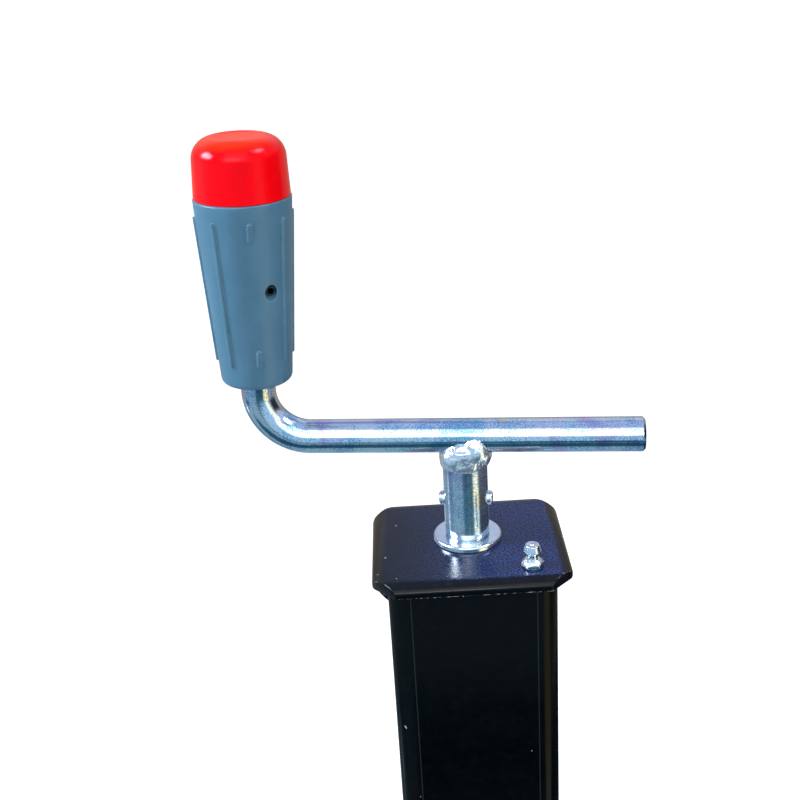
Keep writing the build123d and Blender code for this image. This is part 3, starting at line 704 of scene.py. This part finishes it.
class STAND_OT_top_plate(bpy.types.Operator):
    """Draws the top plate with its rolled mill edges, and the welds under its overhangs"""

    bl_idname = "stand.top_plate"
    bl_label = "Top plate"

    def execute(self, context):
        sizes = context.scene.stand_sizes
        size = plate_high - plate_low
        middle = (plate_low + plate_high) / 2
        side_blend, end_blend = 1.9 * MM, 0.5 * MM
        plate = begin("plate", "cube", size, size=1, location=middle)
        self.roll(plate, sizes)
        below = plate_low.z - size.z
        outline = begin("outline", "plane", (size.x, size.y, 1), size=1, location=(0, middle.y, below))
        for front, corner_cut in ((True, sizes.plate_front_cut), (False, sizes.plate_back_cut)):
            choose(outline, "VERT", lambda corner: (corner.co.y < middle.y) == front)
            bpy.ops.mesh.bevel(offset=corner_cut, affect="VERTICES")

        def at_edge(reach, edge):
            return abs(reach) > edge - 0.1 * MM

        for at_side, blend_length in ((True, side_blend), (False, end_blend)):
            choose(outline, "VERT", lambda corner: at_edge(corner.co.x, plate_high.x) == at_side
                   and (at_side or at_edge(corner.co.y - middle.y, size.y / 2)))
            bpy.ops.mesh.bevel(offset=blend_length, segments=6, affect="VERTICES")
        take_all("FACE")
        raise_by(3 * size.z)
        close_up()
        combine(plate, outline, "INTERSECT")
        soften(plate, 0.35 * MM, 3)
        above = plate_high.z + size.z
        for x, y, radius in ((0, 0, sizes.journal_radius), (nipple_axis.x, nipple_axis.y, 3 * MM)):
            combine(plate, bar(radius + 0.05 * MM, (x, y, below), (x, y, above)))
        paint = paint_finish(
            "plate_paint", context.scene.stand_colours.plate, plate_grain_and_painted_light, roughness=(0.15, 0.24),
            peel_scale=700.0, peel_depth=0.06 * MM, flecks=0.8, wear=0.9, gloss=0.22,
        )
        finish_piece(plate, paint, "housing", "top_plate")
        beads = join([self.weld(-1, sizes.weld_drop_left), self.weld(1, sizes.weld_drop_right)])
        finish_piece(beads, bpy.data.materials["tube_paint"], "housing", "plate_welds", 50)
        for piece in (plate, beads, bpy.data.objects["square_tube"]):
            piece.visible_glossy = False
        return {"FINISHED"}

    def roll(self, plate, sizes):
        """Rounds the left and right top edges to a flat oval: stretched, bevelled and set back."""
        level = (0, 0, plate_high.z)
        squash = sizes.plate_roll_drop / sizes.plate_roll_width
        bpy.ops.transform.resize(value=(1, 1, 1 / squash), center_override=level)
        choose(plate, "EDGE", lambda line: all(
            abs(end.co.x) > plate_high.x - NEAR and end.co.z > plate_high.z - NEAR for end in line.verts))
        bpy.ops.mesh.bevel(offset=sizes.plate_roll_width, segments=14)
        bpy.ops.mesh.select_all(action="SELECT")
        bpy.ops.transform.resize(value=(1, 1, squash), center_override=level)

    def weld(self, side, drop):
        """A bead with a rippled face along one side of the tube, from its wall to the overhang."""
        low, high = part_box("plate_welds")
        wall = tube_high.x
        reach = high.x - wall
        ripples = 60
        pitch = (high.y - low.y) / ripples
        steps = 6
        bead = begin(
            "plate_beads", "circle", vertices=steps + 2, radius=1, location=(0, low.y, 0),
            rotation=(pi / 2, 0, 0),
        )
        profile = [(wall, high.z)]
        for step in range(steps + 1):
            share = step / steps
            swell = 1 + 0.32 * share * (1 - share)
            profile.append((wall + reach * share * swell, high.z - drop * (1 - share) * swell))
        mesh = bmesh.from_edit_mesh(bead.data)
        for corner, (x, z) in zip(mesh.verts, profile):
            corner.co = (x * side, low.y, z)
        bmesh.update_edit_mesh(bead.data)
        root = (side * wall, 0, high.z)
        now = 1.0
        for step in range(1, ripples + 1):
            wanted = 0.955 + 0.03 * cos(pi * step / 2) + 0.015 * sin(0.7 * step)
            pull((0, pitch, 0))
            bpy.ops.transform.resize(value=(wanted / now, 1, wanted / now), center_override=root)
            now = wanted
        close_up()
        return bead


class STAND_OT_grease_nipple(bpy.types.Operator):
    """Draws the grease nipple: a hexagon, a neck and a coned head round the check ball"""

    bl_idname = "stand.grease_nipple"
    bl_label = "Grease nipple"

    def execute(self, context):
        # In millimetres, over the top plate
        low = (nipple_low.z - plate_high.z) / MM
        top, foot, flat = 9.8, 0.7, 3.6
        bore, mouth, body, neck = 1.3, 0.82, 3, 2.1
        profile = [(bore, low), (2.7, low), (body, low + 0.4), (body, foot), (2.4, foot)]
        profile += [(2.4, 3.3), (neck + 0.02, 4), (neck, 5.6), (2.3, 6)]
        profile += arc((3.1, 7.15), 0.4, -50, 15, 5) + arc((2.5, top - 0.3), 0.3, 15, 90, 5)
        profile += [(2, top - 0.05), (bore, top - 0.2), (mouth, top - 0.25), (mouth, top - 0.6)]
        profile += [(bore, top - 1.6), (bore, low)]
        nipple = turned("nipple", in_metres(profile), 64)
        corner = (nipple_high.y - nipple_low.y) / sqrt(3)
        hexagon = begin(
            "hexagon", "circle", vertices=6, radius=corner, fill_type="NGON", location=(0, 0, foot * MM),
            rotation=(0, 0, pi / 2),
        )
        raise_by((flat - foot) * MM)
        close_up()
        cone = turned("cone", in_metres([(5.6, 0), (5.6, 0.9), (2.75, flat + 0.02)]), 96)
        combine(hexagon, cone, "INTERSECT")
        soften(hexagon, 0.12 * MM, 2, 20)
        combine(nipple, hexagon, "UNION")
        place(nipple, Matrix.Translation((nipple_axis.x, nipple_axis.y, plate_high.z)))
        zinc = zinc_finish("nipple_plating", (0.12, 0.24), 220.0, 2400.0, 0.02 * MM, 0.75)
        finish_piece(nipple, zinc, "housing", "grease_nipple", 28)
        return {"FINISHED"}


class STAND_OT_crank_foot(bpy.types.Operator):
    """Draws the washer, the sleeve cut to a saddle round the rod, and the pin across it"""

    bl_idname = "stand.crank_foot"
    bl_label = "Washer, sleeve and pin"

    def execute(self, context):
        sizes = context.scene.stand_sizes
        bore = sizes.journal_radius + 0.5 * MM
        rim = (washer_high.x - washer_low.x) / 2
        rim_round, rim_edge, bore_edge = 0.9 * MM, 0.35 * MM, 0.2 * MM
        low, high = washer_low.z, washer_high.z
        profile = [(bore, low), (rim - rim_edge, low), (rim, low + rim_edge)]
        profile += arc((rim - rim_round, high - rim_round), rim_round, 0, 90, 8)
        profile += [(bore + bore_edge, high), (bore, high - bore_edge), (bore, low)]
        washer = turned("washer", profile, 128)
        washer_zinc = zinc_finish("washer_plating", (0.12, 0.24), 90.0, 1600.0, 0.012 * MM, 0.7)
        finish_piece(washer, washer_zinc, "crank", "crank_washer", 30)

        outer = sizes.sleeve_radius
        bore = sizes.journal_radius + FIT
        top = plate_high.z + sizes.rod_rise - MM
        start, shoulder = (outer, high + MM), (outer, top - horn_slope.y)
        profile = [(bore, high), (outer - 0.8 * MM, high), (outer - 0.1 * MM, high + 0.7 * MM), start]
        profile += between(start, shoulder, 12)
        profile += [shoulder, (outer - horn_slope.x, top), (bore, top), (bore, high)]
        sleeve = turned("sleeve", profile, 128)
        frame_of_crank = crank_frame()
        pin_level = sizes.pin_height - sizes.rod_rise
        reach = 2 * outer
        for radius, level in ((sizes.rod_radius + FIT, 0), (sizes.pin_radius + FIT, pin_level)):
            combine(sleeve, place(bar(radius, (-reach, 0, level), (reach, 0, level)), frame_of_crank))
        turned_zinc = zinc_finish("sleeve_plating", (0.1, 0.22), 90.0, 1700.0, 0.015 * MM, 0.2, 2600.0)
        finish_piece(sleeve, turned_zinc, "crank", "crank_sleeve", 30)

        end, radius = sizes.pin_length / 2, sizes.pin_radius
        bore = radius - sizes.pin_wall
        half = [(bore, end - 0.2 * MM), (bore + 0.2 * MM, end), (radius - 0.7 * MM, end - 0.1 * MM)]
        half += [(radius - 0.3 * MM, end - 0.5 * MM), (radius - 0.1 * MM, end - MM)]
        half += [(radius, end - 1.8 * MM)]
        profile = half + [(across, -along) for across, along in reversed(half)] + half[:1]
        pin = turned("pin", profile, 48)
        slot_size = (radius, MM, 1.1 * sizes.pin_length)
        combine(pin, begin("slot", "cube", slot_size, size=1, location=(radius / 2, 0, 0)))
        lie = Matrix.Translation((0, 0, pin_level)) @ Matrix.Rotation(pi / 2, 4, "Y")
        place(pin, frame_of_crank @ lie)
        finish_piece(pin, washer_zinc, "crank", "cross_pin", 30)
        return {"FINISHED"}


class STAND_OT_crank_rod(bpy.types.Operator):
    """Draws the bent rod, with the turned groove that holds the grip's pin"""

    bl_idname = "stand.crank_rod"
    bl_label = "Crank rod"

    def execute(self, context):
        sizes = context.scene.stand_sizes
        radius, free_end = sizes.rod_radius, sizes.rod_free_end
        chamfer = MM
        turn = pi / 2 + leg_lean
        tangent = sizes.bend_radius * sin(turn / 2) / cos(turn / 2)
        rod = begin(
            "rod", "circle", vertices=96, radius=radius - chamfer, location=(free_end, 0, 0),
            rotation=(0, pi / 2, 0),
        )
        pull((-chamfer, 0, 0), radius / (radius - chamfer), (free_end - chamfer, 0, 0))
        bend_start = -sizes.throw + tangent
        pull((bend_start - free_end + chamfer, 0, 0))
        bend_centre = (bend_start, 0, sizes.bend_radius)
        bpy.ops.mesh.spin(steps=40, angle=-turn, center=bend_centre, axis=(0, 1, 0))
        along = Vector((sin(leg_lean), 0, cos(leg_lean)))
        corner = Vector((-sizes.throw, 0, 0))
        half_groove, root = 2.2 * MM, 4.3 * MM
        groove_low = sizes.grip_pin_height - half_groove
        groove_high = sizes.grip_pin_height + half_groove
        end = sizes.grip_top - 2 * MM
        level, now = tangent, radius
        for next_level, next_radius in (
            (groove_low, radius), (groove_low, root), (groove_high, root), (groove_high, radius),
            (end - chamfer, radius), (end, radius - chamfer),
        ):
            pull(along * (next_level - level), next_radius / now, corner + along * next_level)
            level, now = next_level, next_radius
        close_up()
        place(rod, crank_frame())
        finish_piece(rod, zinc_finish("crank_plating"), "crank", "crank_rod", 30)
        return {"FINISHED"}


class STAND_OT_crank_weld(bpy.types.Operator):
    """Draws the lumpy weld between the rod and the sleeve, from pads that are run together"""

    bl_idname = "stand.crank_weld"
    bl_label = "Crank weld"

    def execute(self, context):
        sizes = context.scene.stand_sizes
        reach = sizes.sleeve_radius
        # Centre, radii, lean along the rod and tilt up of each pad in the crank's frame, in millimetres
        # and degrees, for the front; the back has all but the last one, turned about the spindle
        pads = [
            ((0.2, -5.7, -5.6), (9.2, 3.7, 6.2), -14, 20),
            ((-3.4, -6.2, -7.4), (5.4, 3.6, 4.8), -8, 20),
            ((4.6, -5.7, -3.4), (4.8, 3.5, 6.2), -16, 18),
            ((8.6, -1.5, -7.0), (2.7, 6.6, 4.6), 0, 0),
        ]
        lumps = []
        for turn, run in ((0, pads), (pi, pads[:3])):
            for centre, radii, lean, tilt in run:
                lump = begin("lump", "ico_sphere", radii, subdivisions=4, radius=MM)
                tip = Matrix.Rotation(radians(lean), 4, "Y") @ Matrix.Rotation(radians(-tilt), 4, "X")
                spot = Matrix.Rotation(turn, 4, "Z") @ Matrix.Translation(Vector(centre) * MM)
                lumps.append(place(lump, spot @ tip))
        # How far the collar stands out of the sleeve, and its levels in the crank's frame
        collar = [(-1, -13), (0.5, -12.6), (1, -11.6), (1.1, -10), (1, -7), (0.6, -4), (-1, -3), (-1, -13)]
        lumps.append(turned("collar", [(reach + out * MM, level * MM) for out, level in collar]))
        weld = join(lumps)
        weld.name = weld.data.name = "weld"
        apply_modifier(weld, "REMESH", mode="VOXEL", voxel_size=0.3 * MM)
        apply_modifier(weld, "SMOOTH", factor=0.5, iterations=10)
        for size, strength in ((3.0 * MM, 0.6 * MM), (1.0 * MM, 0.16 * MM)):
            texture = bpy.data.textures.new("lumps", "CLOUDS")
            texture.noise_scale = size
            apply_modifier(weld, "DISPLACE", texture=texture, strength=strength, mid_level=0.5)
        apply_modifier(weld, "SMOOTH", factor=0.5, iterations=3)
        far = 3 * reach
        combine(weld, bar(sizes.rod_radius + FIT, (-far, 0, 0), (far, 0, 0), 192))
        core, wall = 0.2 * MM, reach + FIT
        profile = [(core, -far), (wall, -far), (wall, -MM - horn_slope.y)]
        profile += [(wall - horn_slope.x, FIT - MM), (core, FIT - MM), (core, -far)]
        combine(weld, turned("cutter", profile, 192))
        place(weld, crank_frame())
        zinc = zinc_finish("weld_plating", (0.1, 0.24), 160.0, 1400.0, 0.02 * MM, 0.75, metal=0.82)
        finish_piece(weld, zinc, "crank", "crank_weld", 50)
        return {"FINISHED"}


class STAND_OT_grip(bpy.types.Operator):
    """Draws the tapered grip with seven long ribs, two dashes in front and the hole of its pin"""

    bl_idname = "stand.grip"
    bl_label = "Grip"

    def execute(self, context):
        sizes = context.scene.stand_sizes
        bottom, top = sizes.grip_bottom, sizes.grip_top
        foot, rim = sizes.grip_bottom_radius, sizes.grip_top_radius
        bore = sizes.rod_radius + 0.1 * MM
        bore_edge = 0.4 * MM
        socket = 14 * MM
        socket_floor = top - 14 * MM
        taper = (rim - foot) / (top - bottom)
        slope = atan2(rim - foot, top - bottom)
        foot_round, rim_round = 2.5 * MM, 0.6 * MM
        start = (foot + taper * foot_round, bottom + foot_round)
        end = (rim - taper * rim_round, top - rim_round)
        profile = [(bore, bottom + bore_edge), (bore + bore_edge, bottom)]
        profile += arc((start[0] - foot_round, start[1]), foot_round, -90, 0, 8)
        profile += between(start, end, 24)
        profile += arc((end[0] - rim_round, end[1]), rim_round, 0, 90, 5)
        profile += [(socket, top), (socket, socket_floor), (bore, socket_floor), (bore, bottom + bore_edge)]
        grip = turned("grip", profile, 144)

        rib_low = bottom + 9.8 * MM
        rib_high = top - 6.3 * MM
        rib_width, dash_width, dash_length = 1.6 * MM, 2.2 * MM, 7.3 * MM
        rib_height, rib_root = 0.86 * MM, 0.6 * MM
        long_rib = slot_bar("rib", (rib_high - rib_low) / cos(slope), rib_width, rib_height, rib_root)
        dash = slot_bar("dash", dash_length, dash_width, rib_height, rib_root)
        middle = (rib_low + rib_high) / 2
        standing = [(rib, step * pi / 4, middle) for step, rib in enumerate(copies(long_rib, 7), 1)]
        ends = (rib_low + dash_length / 2, rib_high - dash_length / 2)
        standing += [(piece, 0, level) for piece, level in zip(copies(dash, 2), ends)]
        for piece, turn, level in standing:
            outwards = Vector((cos(turn), sin(turn), 0))
            normal = outwards * cos(slope) - Vector((0, 0, sin(slope)))
            upwards = outwards * sin(slope) + Vector((0, 0, cos(slope)))
            origin = outwards * (foot + taper * (level - bottom)) + Vector((0, 0, level))
            axes = Matrix((upwards, normal.cross(upwards), normal)).transposed().to_4x4()
            place(piece, Matrix.Translation(origin) @ axes)
        combine(grip, join([piece for piece, turn, level in standing]), "UNION")

        # The cutter of the pin's hole, whose two mouths are widened
        pin_level, pin_side = sizes.grip_pin_height, sizes.grip_pin_offset
        mouth = sqrt((foot + taper * (pin_level - bottom)) ** 2 - pin_side**2)
        hole, hole_depth = 2.02 * MM, 3 * MM
        profile = [(hole, mouth + 4 * MM), (hole, mouth - 0.4 * MM), (hole, mouth - hole_depth)]
        profile += [(radius, -height) for radius, height in reversed(profile)]
        cutter = turned("hole", profile, 64)
        choose(cutter, "VERT", lambda corner: abs(corner.co.z) > mouth - MM)
        bpy.ops.transform.resize(value=(1.7, 1.3, 1), center_override=(0, 0, 0))
        across = Matrix.Translation((0, pin_side, pin_level)) @ Matrix.Rotation(pi / 2, 4, "Y")
        combine(grip, place(cutter, across))
        place(grip, grip_frame())
        finish_piece(grip, grip_finish(), "grip", "grip_body", 40)

        # The pin, hollow at both ends
        tip, lead, bore, depth = mouth - hole_depth, 0.35 * MM, 1.35 * MM, 9 * MM
        core, radius = 0.2 * MM, hole - FIT
        profile = [(core, depth - tip), (bore, depth - tip), (bore, -tip), (radius - lead, -tip)]
        profile += [(radius, lead - tip), (radius, tip - lead), (radius - lead, tip), (bore, tip)]
        profile += [(bore, tip - depth), (core, tip - depth)]
        pin = turned("roll_pin", profile, 48)
        place(pin, grip_frame() @ across)
        # Painted shade: the pin's steel is darkened, deep in the grip's hole
        painted_shade_steel = steel_finish("pin_steel_in_painted_shade", (0.1, 0.12, 0.14), (0.3, 0.5))
        finish_piece(pin, painted_shade_steel, "grip", "grip_pin", 30)
        return {"FINISHED"}


class STAND_OT_cap(bpy.types.Operator):
    """Draws the hollow domed cap with the dished disc on its top and the spigot in the grip"""

    bl_idname = "stand.cap"
    bl_label = "Cap"

    def execute(self, context):
        sizes = context.scene.stand_sizes
        base, foot = sizes.grip_top, sizes.cap_base_radius
        top, shoulder = base + sizes.cap_height, sizes.cap_shoulder_radius
        dome, wall, foot_edge = 8.3 * MM, 2.6 * MM, 0.3 * MM
        spigot, spigot_wall = 13.98 * MM, 2.4 * MM
        spigot_end = base - 13 * MM
        disc, dish, core = 8.4 * MM, 0.4 * MM, 0.25 * MM
        dome_centre = (shoulder - dome, top - dome)
        profile = [(core, top - dish), (3 * MM, top - dish), (disc - MM, top - 0.95 * dish)]
        profile += [(disc - 0.3 * MM, top - 0.7 * dish), (disc + 0.2 * MM, top - 0.2 * dish)]
        profile += [(disc + 0.6 * MM, top)] + arc(dome_centre, dome, 90, 0, 16)
        profile += between((shoulder, top - dome), (foot, base + foot_edge), 10)
        profile += [(foot, base + foot_edge), (foot - foot_edge, base), (spigot, base)]
        profile += [(spigot, spigot_end), (spigot - spigot_wall, spigot_end)]
        profile += [(spigot - spigot_wall, base + wall)]
        profile += [(foot - wall, base + wall)] + arc(dome_centre, dome - wall, 0, 90, 10)
        profile += [(core, top - wall)]
        matrix = grip_frame()
        cap = place(turned("cap", profile, 144), matrix)
        disc_level = (matrix @ Vector((0, 0, top))).z
        finish_piece(cap, cap_finish(disc_level), "grip", "grip_cap", 30)
        return {"FINISHED"}


class STAND_OT_foot(bpy.types.Operator):
    """Draws the foot plate and the weld that runs round the leg on it"""

    bl_idname = "stand.foot"
    bl_label = "Foot"

    def execute(self, context):
        sizes = context.scene.stand_sizes
        foot = square_sheet("foot", foot_high.x - foot_low.x, sizes.foot_cut, foot_low.z, 1)
        raise_by(foot_high.z - foot_low.z)
        close_up()
        choose(foot, "EDGE", lambda line: all(corner.co.z > foot_high.z - NEAR for corner in line.verts))
        bpy.ops.mesh.bevel(offset=1.5 * MM, segments=4)
        soften(foot, 0.4 * MM, 2)
        zinc = bpy.data.materials["leg_plating"]
        finish_piece(foot, zinc, "leg", "foot_plate")

        low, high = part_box("foot_weld")
        inner = inner_high.x - inner_low.x
        reach = (high.x - low.x - inner) / 2
        bead = square_wall(
            "foot_bead", inner, sizes.leg_corner, low.z, high.z, reach - 0.2 * MM, side=1, cuts=5
        )
        outer = inner / 2 + reach - 4.4 * MM

        def outer_rim(line):
            far = [max(abs(corner.co.x), abs(corner.co.y)) for corner in line.verts]
            on_top = all(corner.co.z > high.z - NEAR for corner in line.verts)
            return on_top and min(far) > outer and line.is_manifold and line.calc_face_angle(0) > 1

        choose(bead, "EDGE", outer_rim)
        bpy.ops.mesh.bevel(offset=0.92 * (high.z - low.z), segments=5, profile=0.3)
        finish_piece(bead, zinc, "leg", "foot_weld", 50)
        return {"FINISHED"}


class STAND_OT_inner_works(bpy.types.Operator):
    """Finishes the bearing, the screw and the other steel inside the stand"""

    bl_idname = "stand.inner_works"
    bl_label = "Inner works"

    def execute(self, context):
        tone = context.scene.stand_colours.steel
        finishes = {}
        for slot, name, shade, roughness, scale in (
            ("oiled_steel", "greased_steel", 0.75, (0.2, 0.34), 1200.0),
            ("bearing_steel", "polished_steel", 1.15, (0.08, 0.16), 2000.0),
            ("cage_steel", "pressed_steel", 0.9, (0.24, 0.38), 1200.0),
            ("weld_steel", "welded_steel", 0.5, (0.35, 0.55), 800.0),
        ):
            finishes[slot] = steel_finish(name, tuple(shade * part for part in tone), roughness, scale)
        for subpart in frame["record"]["subparts"]:
            node = frame["nodes"][subpart["node"]]
            if subpart["material_slot"] in finishes and not node.hide_render:
                node.data.materials.clear()
                node.data.materials.append(finishes[subpart["material_slot"]])
        return {"FINISHED"}


# Patches of the room that gloss reflects, each over those before it: colour, azimuth from and to
# (0 is the camera's side, 90 the right), elevation from and to, and the softness of its edge, in
# degrees. Colours over 1 are lit windows.
ROOM = (
    ((0.3, 0.27, 0.52), -240, 240, 42, 64, 8),
    ((0.58, 0.63, 0.82), -240, 240, -120, 38, 6),
    ((0.72, 0.76, 0.86), 150, 240, 30, 58, 6),
    ((0.42, 0.38, 0.32), -240, 240, -25, 17, 3),
    ((0.28, 0.44, 0.55), -112, -20, -120, 8, 6),
    ((0.11, 0.25, 0.34), -20, 10, -120, 8, 6),
    ((0.14, 0.27, 0.33), 10, 40, -120, 8, 6),
    ((0.44, 0.68, 0.88), -110, 40, -18, 12, 4),
    ((0.2, 0.33, 0.4), -150, -110, -120, -26, 3),
    ((0.02, 0.03, 0.05), 72, 118, -17, 14, 6),
    ((0.035, 0.045, 0.08), 67, 165, -120, -25, 2),
    ((0.02, 0.08, 0.1), -12, 34, -28, -19, 2),
    ((0.04, 0.1, 0.26), -100, -72, -28.5, -24, 1.5),
    ((1.6, 1.6, 1.25), 38, 61, -120, 30, 3),
    ((1.5, 1.2, 0.6), 34, 66, -27, -14, 3),
    ((1.6, 1.7, 1.8), -110, -101, -33, -28.8, 1.5),
    ((0.03, 0.1, 0.15), -74, 36, -62, -35, 2),
    ((0.28, 0.45, 0.52), -240, 240, -120, -64, 4),
    ((1.1, 1.1, 1.15), -100, 130, 52, 66, 4),
    ((2.0, 2.0, 2.0), -36, 36, 13, 62, 3),
    ((50.0, 50.0, 50.0), -99, -70, 20, 36, 6),
    ((8.0, 8.0, 8.0), -26, 8, 22, 31, 4),
    ((34.0, 34.0, 34.0), 62, 92, 44, 55, 5),
)


class STAND_OT_stage(bpy.types.Operator):
    """Sets the pale floor, the soft lamps, the room that gloss reflects and the camera"""

    bl_idname = "stand.stage"
    bl_label = "Stage"

    def execute(self, context):
        self.floor()
        self.world(context)
        self.lamps()
        self.camera(context)
        context.scene.view_settings.view_transform = "Standard"
        return {"FINISHED"}

    def floor(self):
        """A wide pale floor that shows as white to the camera."""
        deselect()
        bpy.ops.mesh.primitive_plane_add(size=60, location=(0, 0, -leg_stroke))
        floor = bpy.context.object
        floor.name = "floor"
        finish, tree, where = new_finish(
            "floor_paint", Roughness=0.9, Specular_IOR_Level=0.1, Emission_Color=(1, 1, 1, 1)
        )
        shader = tree.nodes["Principled BSDF"].inputs
        cloud = group(tree, "grain", where, scale=3.0)
        pale = blend(tree, cloud["Mask"], (0.8, 0.8, 0.8), (0.82, 0.82, 0.82))
        tree.links.new(pale, shader["Base Color"])
        tree.links.new(times(tree, self.seen(tree), 0.8), shader["Emission Strength"])
        floor.data.materials.append(finish)
        floor.visible_glossy = False

    def seen(self, tree):
        """A share that is 1 for what the camera sees, also through glass."""
        rays = add(tree, "LightPath").outputs
        return maths(tree, "MAXIMUM", rays["Is Camera Ray"], rays["Is Transmission Ray"])

    def world(self, context):
        """White where the camera looks past the floor, a plain soft light, and a room for gloss."""
        world = bpy.data.worlds.new("studio")
        context.scene.world = world
        world.use_nodes = True
        tree = world.node_tree
        tree.nodes.clear()
        look = add(tree, "SeparateXYZ", {"Vector": add(tree, "TexCoord").outputs["Generated"]}).outputs
        azimuth = maths(tree, "ARCTAN2", look["X"], times(tree, look["Y"], -1.0))
        elevation = maths(tree, "ARCSINE", look["Z"])
        room = (0.5, 0.64, 0.92)
        for tone, left, right, low, high, edge in ROOM:
            level = window(tree, azimuth, radians(left), radians(right), radians(edge))
            upright = window(tree, elevation, radians(low), radians(high), radians(edge))
            room = blend(tree, level, room, tone, upright)
        in_gloss = add(tree, "LightPath").outputs["Is Glossy Ray"]
        light = blend(tree, in_gloss, (0.27, 0.29, 0.32), room)
        shown = blend(tree, self.seen(tree), light, (1, 1, 1))
        background = add(tree, "Background", {"Color": shown, "Strength": 1})
        add(tree, "OutputWorld", {"Surface": background.outputs[0]})

    def lamps(self):
        """Three soft rectangles that look at the crank: a wide one in front and one at each side."""
        target = Vector((0, 0, plate_high.z + 60 * MM))
        # Azimuth and elevation in degrees, distance, size, radiance and colour
        for name, azimuth, elevation, distance, size, radiance, tone in (
            ("window", -8, 36, 2.2, (2.4, 1.6), 3.1, (1, 1, 1)),
            ("left_lamp", -88, 28, 1.4, (0.4, 0.6), 26.0, (0.95, 0.98, 1)),
            ("right_lamp", 84, 35, 1.8, (0.5, 0.9), 8.0, (1, 0.97, 0.93)),
        ):
            data = bpy.data.lights.new(name, "AREA")
            data.shape = "RECTANGLE"
            data.size, data.size_y = size
            data.energy = radiance * pi * size[0] * size[1]
            data.color = tone
            lamp = bpy.data.objects.new(name, data)
            bpy.context.collection.objects.link(lamp)
            turn, rise = radians(azimuth), radians(elevation)
            away = Vector((cos(rise) * sin(turn), -cos(rise) * cos(turn), sin(rise)))
            lamp.location = target + away * distance
            lamp.rotation_euler = away.to_track_quat("Z", "Y").to_euler()
            lamp.visible_camera = False
            lamp.visible_glossy = False

    def camera(self, context):
        """The photograph's viewpoint."""
        down, yaw, roll = 0.401, -0.013, -0.063
        focal_length, picture_width = 1158, 800
        eye = Vector((-19.1 * MM, -422.2 * MM, plate_high.z + 242.6 * MM))
        data = bpy.data.cameras.new("camera")
        data.sensor_width = 36
        data.lens = focal_length / picture_width * data.sensor_width
        data.clip_start = 0.01
        camera = bpy.data.objects.new("camera", data)
        aim = Matrix.Rotation(-yaw, 4, "Z") @ Matrix.Rotation(pi / 2 - down, 4, "X")
        camera.matrix_world = Matrix.Translation(eye) @ aim @ Matrix.Rotation(roll, 4, "Z")
        context.collection.objects.link(camera)
        context.scene.camera = camera


class STAND_PT_panel(bpy.types.Panel):
    """Lists the stand's pieces and its sizes and colours"""

    bl_idname = "STAND_PT_panel"
    bl_label = "Prop stand"
    bl_space_type = "VIEW_3D"
    bl_region_type = "UI"
    bl_category = "Prop stand"

    def draw(self, context):
        for operator in OPERATORS:
            self.layout.operator(operator.bl_idname)
        for settings in (context.scene.stand_sizes, context.scene.stand_colours):
            for name in settings.__annotations__:
                self.layout.prop(settings, name)


OPERATORS = (
    STAND_OT_stage,
    STAND_OT_tubes,
    STAND_OT_top_plate,
    STAND_OT_grease_nipple,
    STAND_OT_crank_foot,
    STAND_OT_crank_rod,
    STAND_OT_crank_weld,
    STAND_OT_grip,
    STAND_OT_cap,
    STAND_OT_foot,
    STAND_OT_inner_works,
)
CLASSES = (StandSizes, StandColours, *OPERATORS, STAND_PT_panel)


def register():
    """Registers the classes and hangs the settings on the scene."""
    for item in CLASSES:
        bpy.utils.register_class(item)
    bpy.types.Scene.stand_sizes = bpy.props.PointerProperty(type=StandSizes)
    bpy.types.Scene.stand_colours = bpy.props.PointerProperty(type=StandColours)


def unregister():
    """Takes the settings and the classes away again."""
    del bpy.types.Scene.stand_sizes
    del bpy.types.Scene.stand_colours
    for item in reversed(CLASSES):
        bpy.utils.unregister_class(item)


def main():
    """Makes the whole stand."""
    register()
    for make_group in (make_grain_group, make_scratch_group, make_wear_group, make_bloom_group):
        make_group()
    for operator in OPERATORS:
        family, name = operator.bl_idname.split(".")
        getattr(getattr(bpy.ops, family), name)()


if __name__ == "__main__":
    main()
